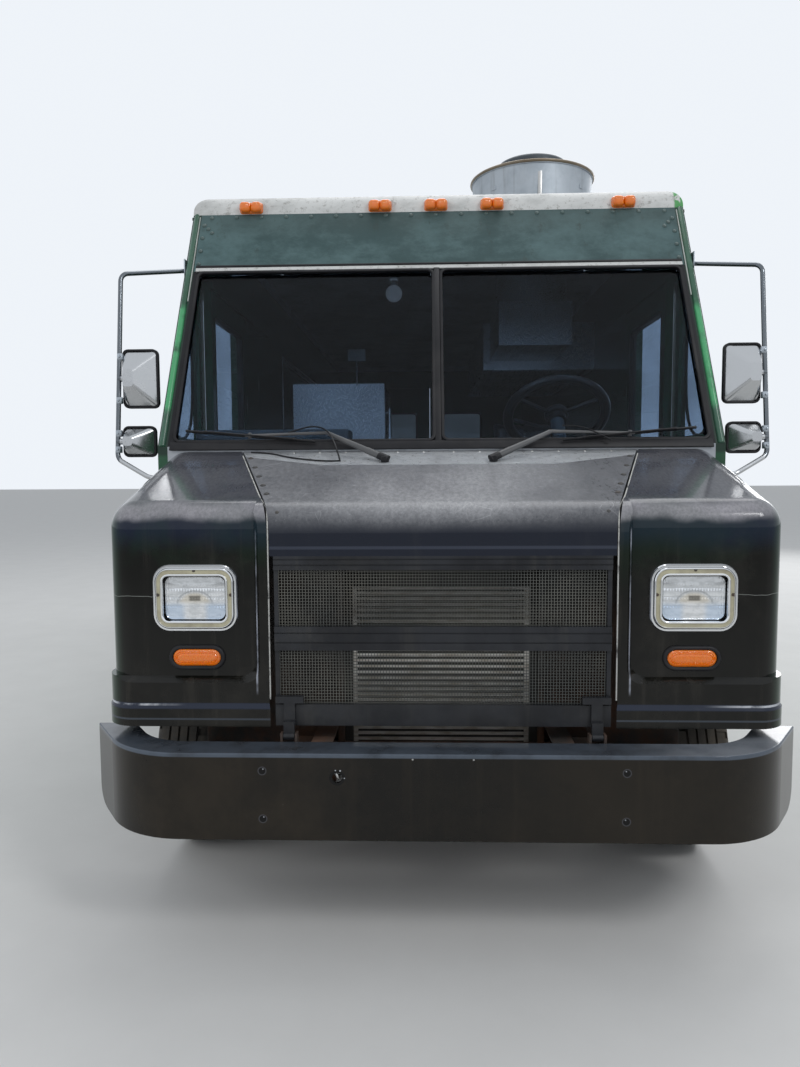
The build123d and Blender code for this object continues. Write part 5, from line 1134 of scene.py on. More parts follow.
# %% [markdown]
# ## Dark panels beside the cooler
# Sheet-metal baffles close the space between the cooler and the fenders, so that all the air goes through
# the fins. They are folded panels with a lip, hung from the chassis, and the hood tips clear of them.

# %% Baffles
baffles = []
for side in (1, -1):
    inner, outer = side * 0.356, side * 0.86
    sheet = block("baffle", (inner, -3.325, 0.56), (outer, -3.319, 1.4), 0.001, 1)
    edit(sheet)
    pick_faces(lambda centre, normal: normal.z > 0.9)
    bpy.ops.mesh.extrude_region_move(TRANSFORM_OT_translate={"value": (0, 0, 0.001)})
    done()
    lip = block("lip", (inner, -3.345, 1.39), (outer, -3.32, 1.4), 0.002, 1)
    post = block("post", (side * 0.36 - 0.012, -3.36, 0.56), (side * 0.36 + 0.012, -3.32, 1.3), 0.003)
    baffles += [sheet, lip, post]
baffles.append(block("top_sheet", (-0.36, -3.33, 1.215), (0.36, -3.322, 1.4), 0.002))
baffles.append(block("valance", (-0.86, -3.5, 0.565), (0.86, -3.33, 0.571), 0.002))
finished(joined("cooler_baffles", baffles), frame_black)
print("baffle pieces:", len(baffles))

# %% [markdown]
# ## Road tyres
# A tyre is one profile turned about the axle: two beads, the bulging walls, the rounded shoulders and a
# tread with four grooves. The profile is drawn as a chain of points and spun in 96 steps. After that, the
# faces of each shoulder rib are pushed in at every third step, which cuts the notches between the blocks.

# %% Tread profile
tyre_radius, spin_steps = 0.403, 96
groove_places, groove_half, groove_deep = (-0.054, -0.018, 0.018, 0.054), 0.0042, 0.009


def crown(across):
    """The tread's radius at a place across it."""
    return 0.4028 - (abs(across) / 0.09) ** 2.4 * 0.0055


outside = [(0.084, 0.2485), (0.093, 0.2495), (0.0985, 0.262), (0.106, 0.283), (0.1075, 0.2835), (0.1105, 0.305),
    (0.1122, 0.326), (0.1112, 0.348), (0.1098, 0.3485), (0.1065, 0.368), (0.1078, 0.3705), (0.1045, 0.383),
    (0.0985, 0.391), (0.0895, 0.3965)]
tread = []
for place in groove_places:
    edge = crown(place)
    tread += [(place - groove_half, edge), (place - groove_half * 0.55, edge - groove_deep),
        (place + groove_half * 0.55, edge - groove_deep), (place + groove_half, edge)]
    rib_end = place + 0.018 if place < 0.05 else 0.078
    tread.append((rib_end, crown(rib_end)))
tread.insert(0, (-0.078, crown(0.078)))
profile = ([(-across, radius) for across, radius in outside] + tread + list(reversed(outside)) + [(0.07, 0.262),
    (0.096, 0.32), (0.088, 0.37), (-0.088, 0.37), (-0.096, 0.32), (-0.07, 0.262)])
print("points in the profile:", len(profile))

# %% Spin and notch
def road_tyre(name, x, y, turn=0.0):
    """A tyre about an axle that runs across the truck."""
    piece = from_points(name, [(across, 0, radius) for across, radius in profile],
        [(i, (i + 1) % len(profile)) for i in range(len(profile))], [])
    edit(piece)
    everything()
    bpy.ops.mesh.spin(steps=spin_steps, angle=2 * pi, center=(0, 0, 0), axis=(1, 0, 0))
    everything()
    bpy.ops.mesh.remove_doubles(threshold=0.0001)
    bpy.ops.mesh.normals_make_consistent(inside=False)

    def around(centre):
        """Which step of the spin a face is in, and its radius."""
        number = int(round((atan2(centre.y, centre.z) + pi) / (2 * pi / spin_steps) - 0.5)) % spin_steps
        return number, (centre.y ** 2 + centre.z ** 2) ** 0.5

    def in_notch(centre, normal):
        number, radius = around(centre)
        offset = 0 if centre.x > 0 else 1
        return number % 3 == offset and 0.0605 < abs(centre.x) < 0.1 and 0.3895 < radius

    pick_faces(in_notch)
    bpy.ops.mesh.extrude_region_shrink_fatten(TRANSFORM_OT_shrink_fatten={"value": -0.0065})

    def in_rib(centre, normal):
        number, radius = around(centre)
        return number % 4 == 0 and abs(centre.x) < 0.051 and radius > 0.399

    pick_faces(in_rib)
    bpy.ops.mesh.extrude_region_shrink_fatten(TRANSFORM_OT_shrink_fatten={"value": -0.003})
    done()
    piece.data.transform(Matrix.Translation((x, y, tyre_radius)) @ Matrix.Rotation(turn, 4, "X"))
    return piece


front_axle, rear_axle = -2.8, 1.72
for name, side in SIDES:
    front = road_tyre(f"road_tyre_front_{name}", side * 1.0, front_axle)
    finished(front, tyre_rubber, 40, body=f"front_wheel_{name}")
    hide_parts(f"front_tyre_{name}")
    pair = joined(f"road_tyres_rear_{name}", [road_tyre("inner", side * 0.773, rear_axle, 0.02),
        road_tyre("outer", side * 1.027, rear_axle)])
    finished(pair, tyre_rubber, 40, body=f"rear_wheels_{name}")
    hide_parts(f"rear_tyres_{name}")
print("faces in a tyre:", len(front.data.polygons))

# %% [markdown]
# ## Wheel nuts, hub caps and valves
# Eight nuts hold each disc, round a hub with a dust cap. A nut is a six-sided bar with its edge taken
# off, on the end of a thinner stud, and a loop sets eight of them round the axle.

# %% Nuts and caps
nut_circle = 0.118


def wheel_fittings(name, side, y, face_x, hub_x, body):
    """Nuts round the hub, a rounded dust cap and a valve stem, on the outside of a wheel."""
    parts = []
    for count in range(8):
        turn = 2 * pi * count / 8 + 0.2
        ny, nz = y + nut_circle * cos(turn), tyre_radius + nut_circle * sin(turn)
        parts.append(bar("nut", (face_x - side * 0.002, ny, nz), (face_x + side * 0.017, ny, nz), 0.0165, 6,
            0.003))
        parts.append(bar("stud", (face_x, ny, nz), (face_x + side * 0.027, ny, nz), 0.0075, 10, 0.001))
    parts.append(ring("seat", (face_x + side * 0.001, y, tyre_radius), (1, 0, 0), 0.092, 0.006, 40, 8))
    parts.append(bar("cap", (hub_x - side * 0.03, y, tyre_radius), (hub_x - side * 0.0005, y, tyre_radius),
        0.0835, 36, 0.006))
    parts.append(ring("cap_rim", (hub_x - side * 0.004, y, tyre_radius), (1, 0, 0), 0.052, 0.004, 36, 8))
    parts.append(hose("valve", [(face_x + side * 0.002, y + 0.05, tyre_radius + 0.19),
        (face_x + side * 0.012, y + 0.052, tyre_radius + 0.2),
        (face_x + side * 0.018, y + 0.054, tyre_radius + 0.215)], 0.004))
    finished(joined(name, parts), old_zinc, 30, body=body)


for name, side in SIDES:
    wheel_fittings(f"front_nuts_{name}", side, front_axle, side * 1.058, side * 1.088, f"front_wheel_{name}")
    wheel_fittings(f"rear_nuts_{name}", side, rear_axle, side * 0.912, side * 1.0, f"rear_wheels_{name}")
print("wheels dressed")

# %% [markdown]
# ## Bumper hardware
# The bumper is a plain bent plate, so its small things matter. Its paint holds its bolt heads, each with a
# painted highlight round its rim and a painted glint, a painted sky reflection along its top edge, and the
# tow hole, widened by a dark disc of painted shade and lit by painted glints. Added to it are two plate
# bolts near its top edge, a loop for towing with a rim, and two feet behind it.

# %% Bolts and the tow loop
plate_bolts = joined("plate_bolts", [bar("bolt", (side * 0.095, -3.7415, 0.683), (side * 0.095, -3.7495, 0.683),
    0.0033, 8, 0.001) for side in (1, -1)])
finished(plate_bolts, old_zinc)
loop = joined("tow_loop", [ring("loop", (tow_x, -3.73, 0.628), (1, 0, 0.4), 0.0145, 0.0045, 24, 8),
    bar("bar", (-0.35, -3.735, 0.633), (-0.314, -3.735, 0.633), 0.004, 8, 0.001),
    ring("hole_rim", (tow_x, -3.7488, tow_z), (0, 1, 0), 0.0175, 0.0011, 32, 6)])
finished(loop, old_zinc, 60)
brackets = [block("foot", (side * 0.568 - 0.03, -3.742, 0.46), (side * 0.568 + 0.03, -3.735, 0.675), 0.003)
    for side in (1, -1)]
finished(joined("bumper_feet", brackets), frame_black)

# %% [markdown]
# ## Seams of the hood
# Black paint has worn off along the raised edges of the hood's seams and left a raw white line. Inside
# each seam runs a row of rivets. A seam follows the nose: straight back over the slope, round the crease
# and down beside the grille, so its line is a smooth curve through points on that form.

# %% The nose's top line
nose_face, nose_crease, nose_cowl, nose_round = -3.6, 1.468, 1.664, 0.034
nose_pitch = (nose_cowl - nose_crease) / (cowl_y - nose_face - nose_round)
seam_bend_y, seam_bend_x, seam_cowl_x = -3.573, 0.578, 0.8


def nose_top(y):
    """Height of the nose's sloped top at a place along it."""
    start = nose_crease - nose_round * nose_pitch
    return start + (y - nose_face) * (nose_cowl - start) / (cowl_y - nose_face)


def seam_x(y):
    """How far out the seam is at a place along the slope."""
    share = (y - seam_bend_y) / (cowl_y - seam_bend_y)
    return seam_bend_x + (seam_cowl_x - seam_bend_x) * share


raw_edge, tree, shader = new_finish("raw_edge")
patchy = mottled(tree, 22, 7, 0.36, 0.52, rough=0.8)
fill(shader, {"Base Color": blend_of(tree, patchy, (0.05, 0.05, 0.05, 1), (0.5, 0.5, 0.48, 1)),
    "Roughness": remap(tree, patchy, 0, 1, 0.4, 0.7)})
grained(tree, shader, 60, 0.0004)

# %% Seam lines and rivets
for name, side in SIDES:
    slope_points = [(side * (seam_x(y) + 0.0055), y, nose_top(y) + 0.0008)
        for y in (-2.996, -3.15, -3.3, -3.42, -3.5)]
    round_points = [(side * 0.5795, -3.548, 1.4605), (side * 0.571, -3.583, 1.437),
        (side * 0.5672, -3.5995, 1.4), (side * 0.5672, -3.6008, 1.34), (side * 0.5672, -3.6008, 1.2),
        (side * 0.5672, -3.6008, 0.83)]
    line = hose(f"seam_edge_{name}", slope_points + round_points, 0.0024)
    finished(line, raw_edge, 60)
    places = []
    for y in (-3.03, -3.15, -3.26, -3.36, -3.45):
        places.append(((side * (seam_x(y) - 0.022), y, nose_top(y) - 0.0004), (0, -0.29, 0.957)))
    places.append(((side * 0.54, -3.572, 1.4446), (0, -0.78, 0.62)))
    finished(rivets(f"hood_rivets_{name}", places, 0.011, 0.006), frame_black, 60,
        body="hood")
print("top of the nose at its middle:", round(nose_top(-3.27), 3))

# %% [markdown]
# ## Cowl, wipers and washer hoses
# Each wiper is a flat tapered arm on a capped pivot, with a framed blade across its end. The arm is a
# bar flattened by a resize, the blade is a rubber strip held by three claws, and a thin washer hose
# loops out of the cowl beside each pivot.

# %% Wipers
pivot_y, pivot_out = -3.082, 0.21
wiper_parts, blade_parts, hose_parts = [], [], []


def off_glass(x, z, out=0.024):
    """A point in front of the glass at a place across and a height."""
    return Vector((x, cowl_y + (z - cowl_z) * tan(rake) - out, z))


def flat_arm(start, end, wide, tip_wide, thick):
    """A tapered bar that is flattened against the glass."""
    nothing_selected()
    run = end - start
    bpy.ops.mesh.primitive_cone_add(vertices=16, radius1=wide, radius2=tip_wide, depth=run.length)
    arm = bpy.context.object
    arm.name = "arm"
    edit(arm)
    everything()
    bpy.ops.transform.resize(value=(1, thick, 1), center_override=(0, 0, 0))
    done()
    along = run.normalized()
    across = raked_out.cross(along).normalized()
    facing = Matrix((across, along.cross(across), along)).transposed().to_4x4()
    arm.data.transform(Matrix.Translation((start + end) / 2) @ facing)
    return arm


for side in (1, -1):
    pivot = Vector((side * pivot_out, pivot_y, nose_top(pivot_y) + 0.014))
    knee = off_glass(side * 0.452, 1.738, 0.03)
    inner, outer = off_glass(side * 0.504, 1.702), off_glass(side * 1.03, 1.749)
    middle = (inner + outer) / 2 + Vector((0, -0.006, 0.004))
    arm_run, tip_run, run = knee - pivot, middle - knee, outer - inner
    head_end = pivot + arm_run * 0.3
    wiper_parts += [flat_arm(pivot - arm_run * 0.04, head_end, 0.015, 0.0145, 0.62),
        flat_arm(head_end - arm_run * 0.03, knee, 0.0135, 0.009, 0.6),
        flat_arm(knee - tip_run * 0.03, middle + tip_run * 0.06, 0.0075, 0.0055, 0.6),
        bar("hook", middle + Vector((0, 0.006, -0.012)), middle + Vector((0, 0.0, 0.01)), 0.008, 10, 0.002)]
    blade_parts += [bar("cap", pivot - Vector((0, 0, 0.018)), pivot + Vector((0, 0, 0.006)), 0.0165, 20, 0.004),
        flat_arm(pivot - arm_run * 0.05, pivot + arm_run * 0.1, 0.0165, 0.0158, 0.7),
        bar("strip", inner, outer, 0.0045, 6)]
    for low, high, out in ((0.0, 0.3, 0.005), (0.7, 1.0, 0.005), (0.15, 0.85, 0.01)):
        blade_parts.append(bar("claw", inner + run * low + raked_out * out,
            inner + run * high + raked_out * out, 0.0038, 8, 0.001))
        for share in (low, high):
            blade_parts.append(bar("clip", inner + run * share - raked_out * 0.002,
                inner + run * share + raked_out * out * 1.3, 0.0055, 8, 0.001))
left_start = Vector((-0.385, -3.075, nose_top(-3.075)))
hose_parts.append(hose("washer", [left_start, left_start + Vector((-0.012, 0.008, 0.05)),
    off_glass(-0.445, 1.748, 0.04), off_glass(-0.5, 1.768, 0.035), off_glass(-0.56, 1.758, 0.03),
    off_glass(-0.62, 1.735, 0.03)], 0.0034))
hose_parts.append(hose("washer", [off_glass(0.5, 1.76, 0.035), off_glass(0.56, 1.762, 0.035),
    off_glass(0.63, 1.735, 0.035), off_glass(0.69, 1.7, 0.035)], 0.0034))
along_cowl = [(-0.76, -2.955), (-0.68, -2.965), (-0.61, -3.02), (-0.52, -3.06), (-0.42, -3.085),
    (-0.385, -3.075)]
hose_parts.append(hose("feed", [(x, y, nose_top(y) + 0.0035) for x, y in along_cowl], 0.0032))
arms = finished(joined("wiper_arms", wiper_parts), wiper_grey)
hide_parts("wipers")
finished(joined("wiper_blades", blade_parts), rubber_black)
finished(joined("washer_hoses", hose_parts), rubber_black, 60)

# %% Cowl rivets
cowl_out = (0, -0.296, 0.955)
places = [((side * (0.06 + 0.105 * i), -2.955, nose_top(-2.955)), cowl_out) for i in range(7)
    for side in (1, -1)]
finished(rivets("cowl_rivets", places, 0.006, 0.003), old_zinc, 60)

# %% [markdown]
# ## Mirrors
# Each mirror arm is one bent steel tube, flattened where it is bolted to the body, with two heads on it.
# The chromed backs come with the frame; the looking-glass, its rubber edge and the clamps are added.

# %% Glasses, clamps and feet
glasses, edgings, clamps = [], [], []
tube_top_y = cowl_y + (2.1 - cowl_z) * tan(rake)
tube_low_y = tube_top_y - 0.1
tube_high_z, tube_low_z = 2.438, 1.64


def tube_y(z):
    """How far back the upright part of the mirror tube is at a height."""
    return tube_low_y + (tube_top_y - tube_low_y) * (z - tube_low_z) / (tube_high_z - tube_low_z)


for side in (1, -1):
    for low, high, wide in ((1.86, 2.108, 0.152), (1.65, 1.779, 0.14)):
        middle = (low + high) / 2
        glass_y = tube_y(middle) + 0.032
        x = side * 1.276
        glass = stepped(rounded_face("glass", wide - 0.012, high - low - 0.012, 0.02), (0, 0, 0), ((0, 0.002),))
        glass.data.transform(Matrix.Translation((x, glass_y, middle)) @ Matrix.Rotation(pi, 4, "Z"))
        glasses.append(glass)
        edging = frame_ring("edging", x - wide / 2 - 0.002, x + wide / 2 + 0.002, low - 0.002, high + 0.002,
            0.025, 0.008, 0.022, -glass_y + 0.013)
        edgings.append(edging)
        clamp_x = side * 1.3612
        for z in (low + 0.03, high - 0.03):
            clamps.append(bar("clamp", (clamp_x, tube_y(z), z - 0.014), (clamp_x, tube_y(z), z + 0.014), 0.0145,
                16, 0.003))
            clamps.append(bar("bolt", (clamp_x, tube_y(z) - 0.022, z), (clamp_x, tube_y(z) + 0.02, z), 0.005, 6,
                0.001))
    top_y = cowl_y + (header_z - cowl_z) * tan(rake) + 0.03
    clamps.append(block("flat", (side * wall_x, top_y - 0.016, 2.503), (side * 1.235, top_y + 0.016, 2.513),
        0.004))
    clamps.append(bar("foot_bolt", (side * wall_x, top_y, 2.53), (side * 1.163, top_y, 2.53), 0.009, 6, 0.002))
    clamps.append(block("top_plate", (side * wall_x, top_y - 0.03, 2.478), (side * 1.156, top_y + 0.03, 2.558),
        0.003))
    clamps.append(block("low_plate", (side * wall_x, cowl_y + 0.06, 1.53), (side * 1.156, cowl_y + 0.12, 1.59),
        0.003))
finished(joined("mirror_glasses", glasses), mirror_silver)
finished(joined("mirror_edgings", edgings), rubber_black)
finished(joined("mirror_clamps", clamps), tube_steel)
print("mirror glasses:", len(glasses))

# %% [markdown]
# ## Side walls
# Each wall is of riveted sheets: a cover strip over every joint, two rub rails lower down, a drip rail
# under the roof and a rubber edge round the wheel arch. Strips and rails are thin blocks with rolled
# edges, and every rivet is the same dome. The kerb side's strips stop short of the serving shelf.

# %% Strips, rails and rivets
seams = (-1.55, -0.7, 0.2, 1.1, 2.35, 3.3)
arch_radius = 0.468
for name, side in SIDES:
    strips, rails, places = [], [], []
    for y in seams:
        top = 1.35 if side < 0 and y in (0.2, 1.1) else eaves
        inner, outer = side * wall_x, side * (wall_x + 0.002)
        strips.append(block("strip", (inner, y - 0.022, skirt), (outer, y + 0.022, top), 0.0006, 1))
        count = int((top - skirt - 0.06) / 0.1)
        places += [((outer, y + shift, skirt + 0.04 + 0.1 * i), (side, 0, 0)) for i in range(count + 1)
            for shift in (-0.013, 0.013)]
    for z in (0.945, 1.3):
        inner, outer = side * (wall_x + 0.002), side * (wall_x + 0.015)
        rails.append(block("rail", (inner, -1.66, z - 0.019), (outer, 3.495, z + 0.019), 0.0055, 3))
        places += [((side * (wall_x + 0.015), -1.6 + 0.24 * i, z), (side, 0, 0)) for i in range(22)]
    inner, outer = side * (wall_x - 0.001), side * (wall_x + 0.014)
    drip = block("drip", (inner, -2.32, 2.782), (outer, 3.505, 2.797), 0.004)
    finished(joined(f"cover_strips_{name}", strips + [drip]), body_green)
    finished(joined(f"rub_rails_{name}", rails), old_zinc)
    finished(rivets(f"wall_rivets_{name}", places, 0.0062, 0.003), body_green, 60)
    arch = [(side * wall_x, rear_axle - arch_radius * cos(radians(turn)),
        tyre_radius + arch_radius * sin(radians(turn))) for turn in range(11, 171, 8)]
    edge = hose(f"arch_edge_{name}", arch, 0.0075, 8)
    finished(edge, rubber_black, 60)
    flap = block(f"mud_flap_{name}", (side * 0.64, 2.215, 0.19), (side * 1.1, 2.222, 0.688), 0.002)
    finished(flap, rubber_black)
print("wall rivets a side:", len(places))

# %% Side windows' rubber
quarter = [(-2.82, 1.73), (-2.446, 1.73), (-2.446, 2.33), (-2.499, 2.33)]
for name, side in SIDES:
    bead = hose(f"quarter_rubber_{name}", [(side * (wall_x - 0.001), y, z) for y, z in quarter], 0.0075, 8,
        True)
    finished(bead, rubber_black, 60)


def side_ring(name, side, x, y0, y1, z0, z1, corner, width, depth):
    """A rounded rectangular strip on a side face, between two places along the truck."""
    piece = frame_ring(name, side * y0, side * y1, z0, z1, corner, width, depth, 0)
    piece.data.transform(Matrix.Translation((x, 0, 0)) @ Matrix.Rotation(side * pi / 2, 4, "Z"))
    return piece


for name, side in SIDES:
    rubber = side_ring(f"door_rubber_{name}", side, side * 1.085, -2.322, -1.74, 1.494, 2.336, 0.05, 0.016,
        0.042)
    finished(rubber, rubber_black, body=f"cab_door_{name}")
    pull = side_ring(f"door_pull_rim_{name}", side, side * 1.1045, -2.335, -2.255, 1.16, 1.34, 0.02, 0.008,
        0.005)
    finished(pull, chrome, body=f"cab_door_{name}")
    inner, outer = side * 1.1035, side * 1.1048
    cup = block(f"door_pull_{name}", (inner, -2.33, 1.165), (outer, -2.26, 1.335), 0.0005, 1)
    finished(cup, gap_black, body=f"cab_door_{name}")
    inner, outer = side * 1.066, side * 1.04
    grip = joined(f"door_grip_{name}", [block("bar", (inner, -2.31, 1.1), (outer, -2.29, 1.42), 0.006),
        block("kick", (side * 1.0665, -2.34, 0.58), (side * 1.063, -1.73, 0.9), 0.001, 1)])
    finished(grip, kitchen_steel, body=f"cab_door_{name}")

# %% [markdown]
# ## Serving side and filler
# The serving hatch is a flat panel in an aluminium border with two latches at its bottom edge, the
# opening behind it has a steel lining, and the shelf below is clad in steel. On the driver's side sits
# the fuel filler's round door.

# %% Hatch, lining and shelf
hatch_x, hatch_from, hatch_to = -1.19, -0.34, 1.74
border = side_ring("hatch_border", -1, hatch_x - 0.001, hatch_from, hatch_to, 1.62, 2.478, 0.012, 0.04, 0.005)
latches = []
for y in (0.1, 1.3):
    latches += [block("plate", (hatch_x - 0.005, y - 0.03, 1.64), (hatch_x, y + 0.03, 1.71), 0.002),
        bar("stem", (hatch_x, y, 1.675), (hatch_x - 0.022, y, 1.675), 0.009, 16, 0.002),
        block("tee", (hatch_x - 0.03, y - 0.035, 1.667), (hatch_x - 0.02, y + 0.035, 1.683), 0.004)]
for y in (0.01, 1.39):
    latches.append(block("stay_foot", (hatch_x - 0.004, y - 0.02, 2.28), (hatch_x, y + 0.02, 2.34), 0.002))
finished(joined("hatch_trim", [border] + latches), old_zinc, body="serving_hatch")
hatch_domes = rivets("hatch_rivets", [((hatch_x - 0.0035, hatch_from + 0.06 + 0.14 * i, z), (-1, 0, 0))
    for i in range(15) for z in (1.64, 2.458)], 0.0055, 0.0028)
finished(hatch_domes, old_zinc, 60, body="serving_hatch")
lining = side_ring("opening_lining", -1, -1.13, -0.3, 1.7, 1.66, 2.44, 0.01, 0.012, 0.046)
finished(lining, kitchen_steel)
shelf = joined("shelf_cladding", [block("top", (-1.3725, -0.299, 1.58), (-1.151, 1.699, 1.5825), 0.0006, 1),
    block("lip", (-1.3735, -0.299, 1.552), (-1.37, 1.699, 1.5825), 0.001, 1)])
finished(shelf, kitchen_steel)

# %% Filler door and side reflectors
filler_y, filler_z = -0.45, 1.12
filler = joined("fuel_filler", [bar("door", (wall_x, filler_y, filler_z), (wall_x + 0.006, filler_y, filler_z),
    0.08, 40, 0.003), bar("hinge", (wall_x + 0.006, -0.535, 1.09), (wall_x + 0.006, -0.535, 1.15), 0.006, 10,
    0.001), bar("knob", (wall_x + 0.006, -0.39, filler_z), (wall_x + 0.014, -0.39, filler_z), 0.01, 16, 0.003)])
finished(filler, body_green)
for name, side in SIDES:
    for place, y, finish in (("front", -1.48, amber_lens), ("rear", 3.41, red_lens)):
        start, end = side * wall_x, side * (wall_x + 0.008)
        oval = block(f"reflector_{place}_{name}", (start, y - 0.045, 1.09), (end, y + 0.045, 1.13), 0.0035, 3)
        finished(oval, finish)

# %% [markdown]
# ## Rear doors
# Two doors open outwards. Each window has a rubber, a rubber lip runs round the opening, and the
# driver's side door has a lever that turns a lock rod with a cam at both ends. The plate is blank.

# %% Rubbers, rod and lever
back, door_back = 3.51, 3.551
for name, side in SIDES:
    x0, x1 = side * 0.157, side * 0.627
    rubber = frame_ring(f"rear_window_rubber_{name}", x0, x1, 1.695, 2.305, 0.05, 0.016, 0.046, -3.534)
    finished(rubber, rubber_black, body=f"rear_door_{name}")
    x0, x1 = side * 0.03, side * 0.78
    panel = frame_ring(f"rear_door_rib_{name}", x0, x1, 0.82, 1.6, 0.02, 0.02, 0.005, -3.5525)
    domes = rivets("domes", [((side * (0.06 + 0.1 * i), door_back, z), (0, 1, 0)) for i in range(8)
        for z in (0.79, 1.63, 2.37, 2.6)], 0.0058, 0.0028)
    finished(joined(f"rear_door_trim_{name}", [panel, domes]), body_green, body=f"rear_door_{name}")
rod_x = 0.075
lock = [bar("rod", (rod_x, 3.569, 0.81), (rod_x, 3.569, 2.59), 0.0095, 16, 0.001)]
for z in (0.86, 1.2, 1.62, 2.1, 2.54):
    lock.append(block("guide", (rod_x - 0.03, door_back, z - 0.018), (rod_x + 0.03, 3.558, z + 0.018), 0.002))
    lock.append(block("strap", (rod_x - 0.014, 3.556, z - 0.012), (rod_x + 0.014, 3.581, z + 0.012), 0.004))
for z in (0.8, 2.575):
    lock.append(block("cam", (rod_x - 0.012, 3.556, z), (rod_x + 0.012, 3.586, z + 0.026), 0.003))
lock.append(bar("pivot", (rod_x, 3.575, 1.38), (rod_x, 3.6, 1.38), 0.017, 20, 0.003))
lock.append(flat_arm(Vector((rod_x, 3.595, 1.38)), Vector((rod_x + 0.26, 3.6, 1.38)), 0.013, 0.011, 0.5))
lock.append(block("rest", (rod_x + 0.2, door_back, 1.365), (rod_x + 0.235, 3.592, 1.395), 0.003))
finished(joined("rear_lock_rod", lock), old_zinc, body="rear_door_left")

# %% Blank plate, lamp and frame lip
plate_x = 0.44
plate = joined("blank_plate", [block("plate", (plate_x - 0.152, door_back, 0.93),
    (plate_x + 0.152, 3.5535, 1.082), 0.001, 1), frame_ring("rim", plate_x - 0.152, plate_x + 0.152, 0.93,
    1.082, 0.015, 0.005, 0.003, -3.554)])
finished(plate, sealer_pale, body="rear_door_left")
lamp = joined("plate_lamp", [block("hood", (plate_x - 0.04, door_back, 1.1), (plate_x + 0.04, 3.585, 1.125),
    0.005), *[bar("bolt", (plate_x + dx, 3.553, dz), (plate_x + dx, 3.557, dz), 0.005, 6, 0.001)
    for dx in (-0.09, 0.09) for dz in (0.945, 1.067)]])
finished(lamp, chrome, body="rear_door_left")
lip = frame_ring("rear_lip", -0.814, 0.814, 0.766, 2.634, 0.01, 0.006, 0.004, -back - 0.0015)
finished(lip, rubber_black)

# %% Grab handles, reflectors and the step's tread
handles = []
for side in (1, -1):
    x = side * 1.095
    handles.append(hose("grab", [(x, back, 1.3), (x, back + 0.035, 1.3), (x, back + 0.05, 1.33),
        (x, back + 0.05, 1.67), (x, back + 0.035, 1.7), (x, back, 1.7)], 0.0105, 12))
    for z in (1.3, 1.7):
        handles.append(bar("foot", (x, back, z), (x, back + 0.006, z), 0.026, 24, 0.002))
finished(joined("grab_handles", handles), old_zinc, 50)
dots = [bar("dot", (side * 1.09, back, z), (side * 1.09, back + 0.006, z), 0.028, 28, 0.002) for side in (1, -1)
    for z in (0.79, 1.16)]
finished(joined("rear_reflectors", dots), red_lens)
tread = block("tread", (-1.03, 3.53, 0.6), (-0.985, 3.538, 0.603), 0.001, 1)
row(tread, (0.0625, 0, 0), 33)
row(tread, (0, 0.028, 0), 7)
finished(tread, step_black)
edge_strip = joined("step_edge", [block("nose", (-1.04, 3.728, 0.6), (1.04, 3.749, 0.604), 0.0015),
    *[bar("bolt", (x, 3.62, 0.6), (x, 3.62, 0.606), 0.009, 6, 0.001) for x in (-0.6, -0.2, 0.2, 0.6)]])
finished(edge_strip, old_zinc)
print("rear pieces done, parts of the lock:", len(lock))

# %% [markdown]
# ## Roof and fan
# The roof skin is of sheets laid across the truck, lapped and riveted, with sealer over each lap. The
# up-blast fan has a seamed band, a rolled bead and a wire guard at its mouth, bolts round its curb and an
# outlet box.

# %% Laps, sealer and rivets
laps, places = [], []
fan_x, fan_y, fan_clear = 0.612, -1.086, 0.4
for y in (-1.62, -0.42, 0.62, 1.66, 2.7):
    laps.append(block("lap", (-1.055, y - 0.03, 2.8995), (1.055, y + 0.03, 2.9015), 0.0007, 1))
    places += [((-1.0 + 0.1 * i, y + shift, 2.9015), (0, 0, 1)) for i in range(21) for shift in (-0.016, 0.016)
        if not (abs(y - fan_y) < fan_clear and abs(-1.0 + 0.1 * i - fan_x) < fan_clear)]
finished(joined("roof_laps", laps), roof_white)
finished(rivets("roof_rivets", places, 0.0062, 0.003), roof_white, 60)
sealer = frame_ring("curb_sealer", fan_x - 0.325, fan_x + 0.325, fan_y - 0.325, fan_y + 0.325, 0.03, 0.028,
    0.006, 0)
sealer.data.transform(Matrix.Translation((0, 0, 2.902)) @ Matrix.Rotation(-pi / 2, 4, "X"))
finished(sealer, sealer_pale)

# %% Fan's bolts, bead and box
bits = []
for dx in (-1, 1):
    for step in (-0.2, 0, 0.2):
        bits.append(bar("bolt", (fan_x + dx * 0.3, fan_y + step, 2.96),
            (fan_x + dx * 0.308, fan_y + step, 2.96), 0.009, 6, 0.001))
        bits.append(bar("bolt", (fan_x + step, fan_y + dx * 0.3, 2.96),
            (fan_x + step, fan_y + dx * 0.308, 2.96), 0.009, 6, 0.001))
bits.append(block("outlet_box", (fan_x - 0.05, fan_y + 0.3, 2.93), (fan_x + 0.05, fan_y + 0.345, 3.02), 0.004))
bits.append(ring("low_bead", (fan_x, fan_y, 3.058), (0, 0, 1), 0.352, 0.006, 64, 8))
seam_y = fan_y - 0.3592
bits.append(block("band_seam", (fan_x - 0.012, seam_y - 0.0045, 3.07), (fan_x + 0.012, seam_y + 0.006, 3.355),
    0.002))
finished(joined("fan_fittings", bits), old_zinc)
fan_bronze = coat("fan_bronze", (0.16, 0.13, 0.09), (0.25, 0.21, 0.16), rust, 0.3, 0.1, 0, 0.4, 0.65, 0.6)
mouth = ring("fan_mouth", (fan_x, fan_y, 3.364), (0, 0, 1), 0.3715, 0.009, 72, 10)
finished(mouth, fan_bronze, 60)
wires = [ring("wire", (fan_x, fan_y, 3.368), (0, 0, 1), radius, 0.0025, 48, 6) for radius in (0.24, 0.3)]
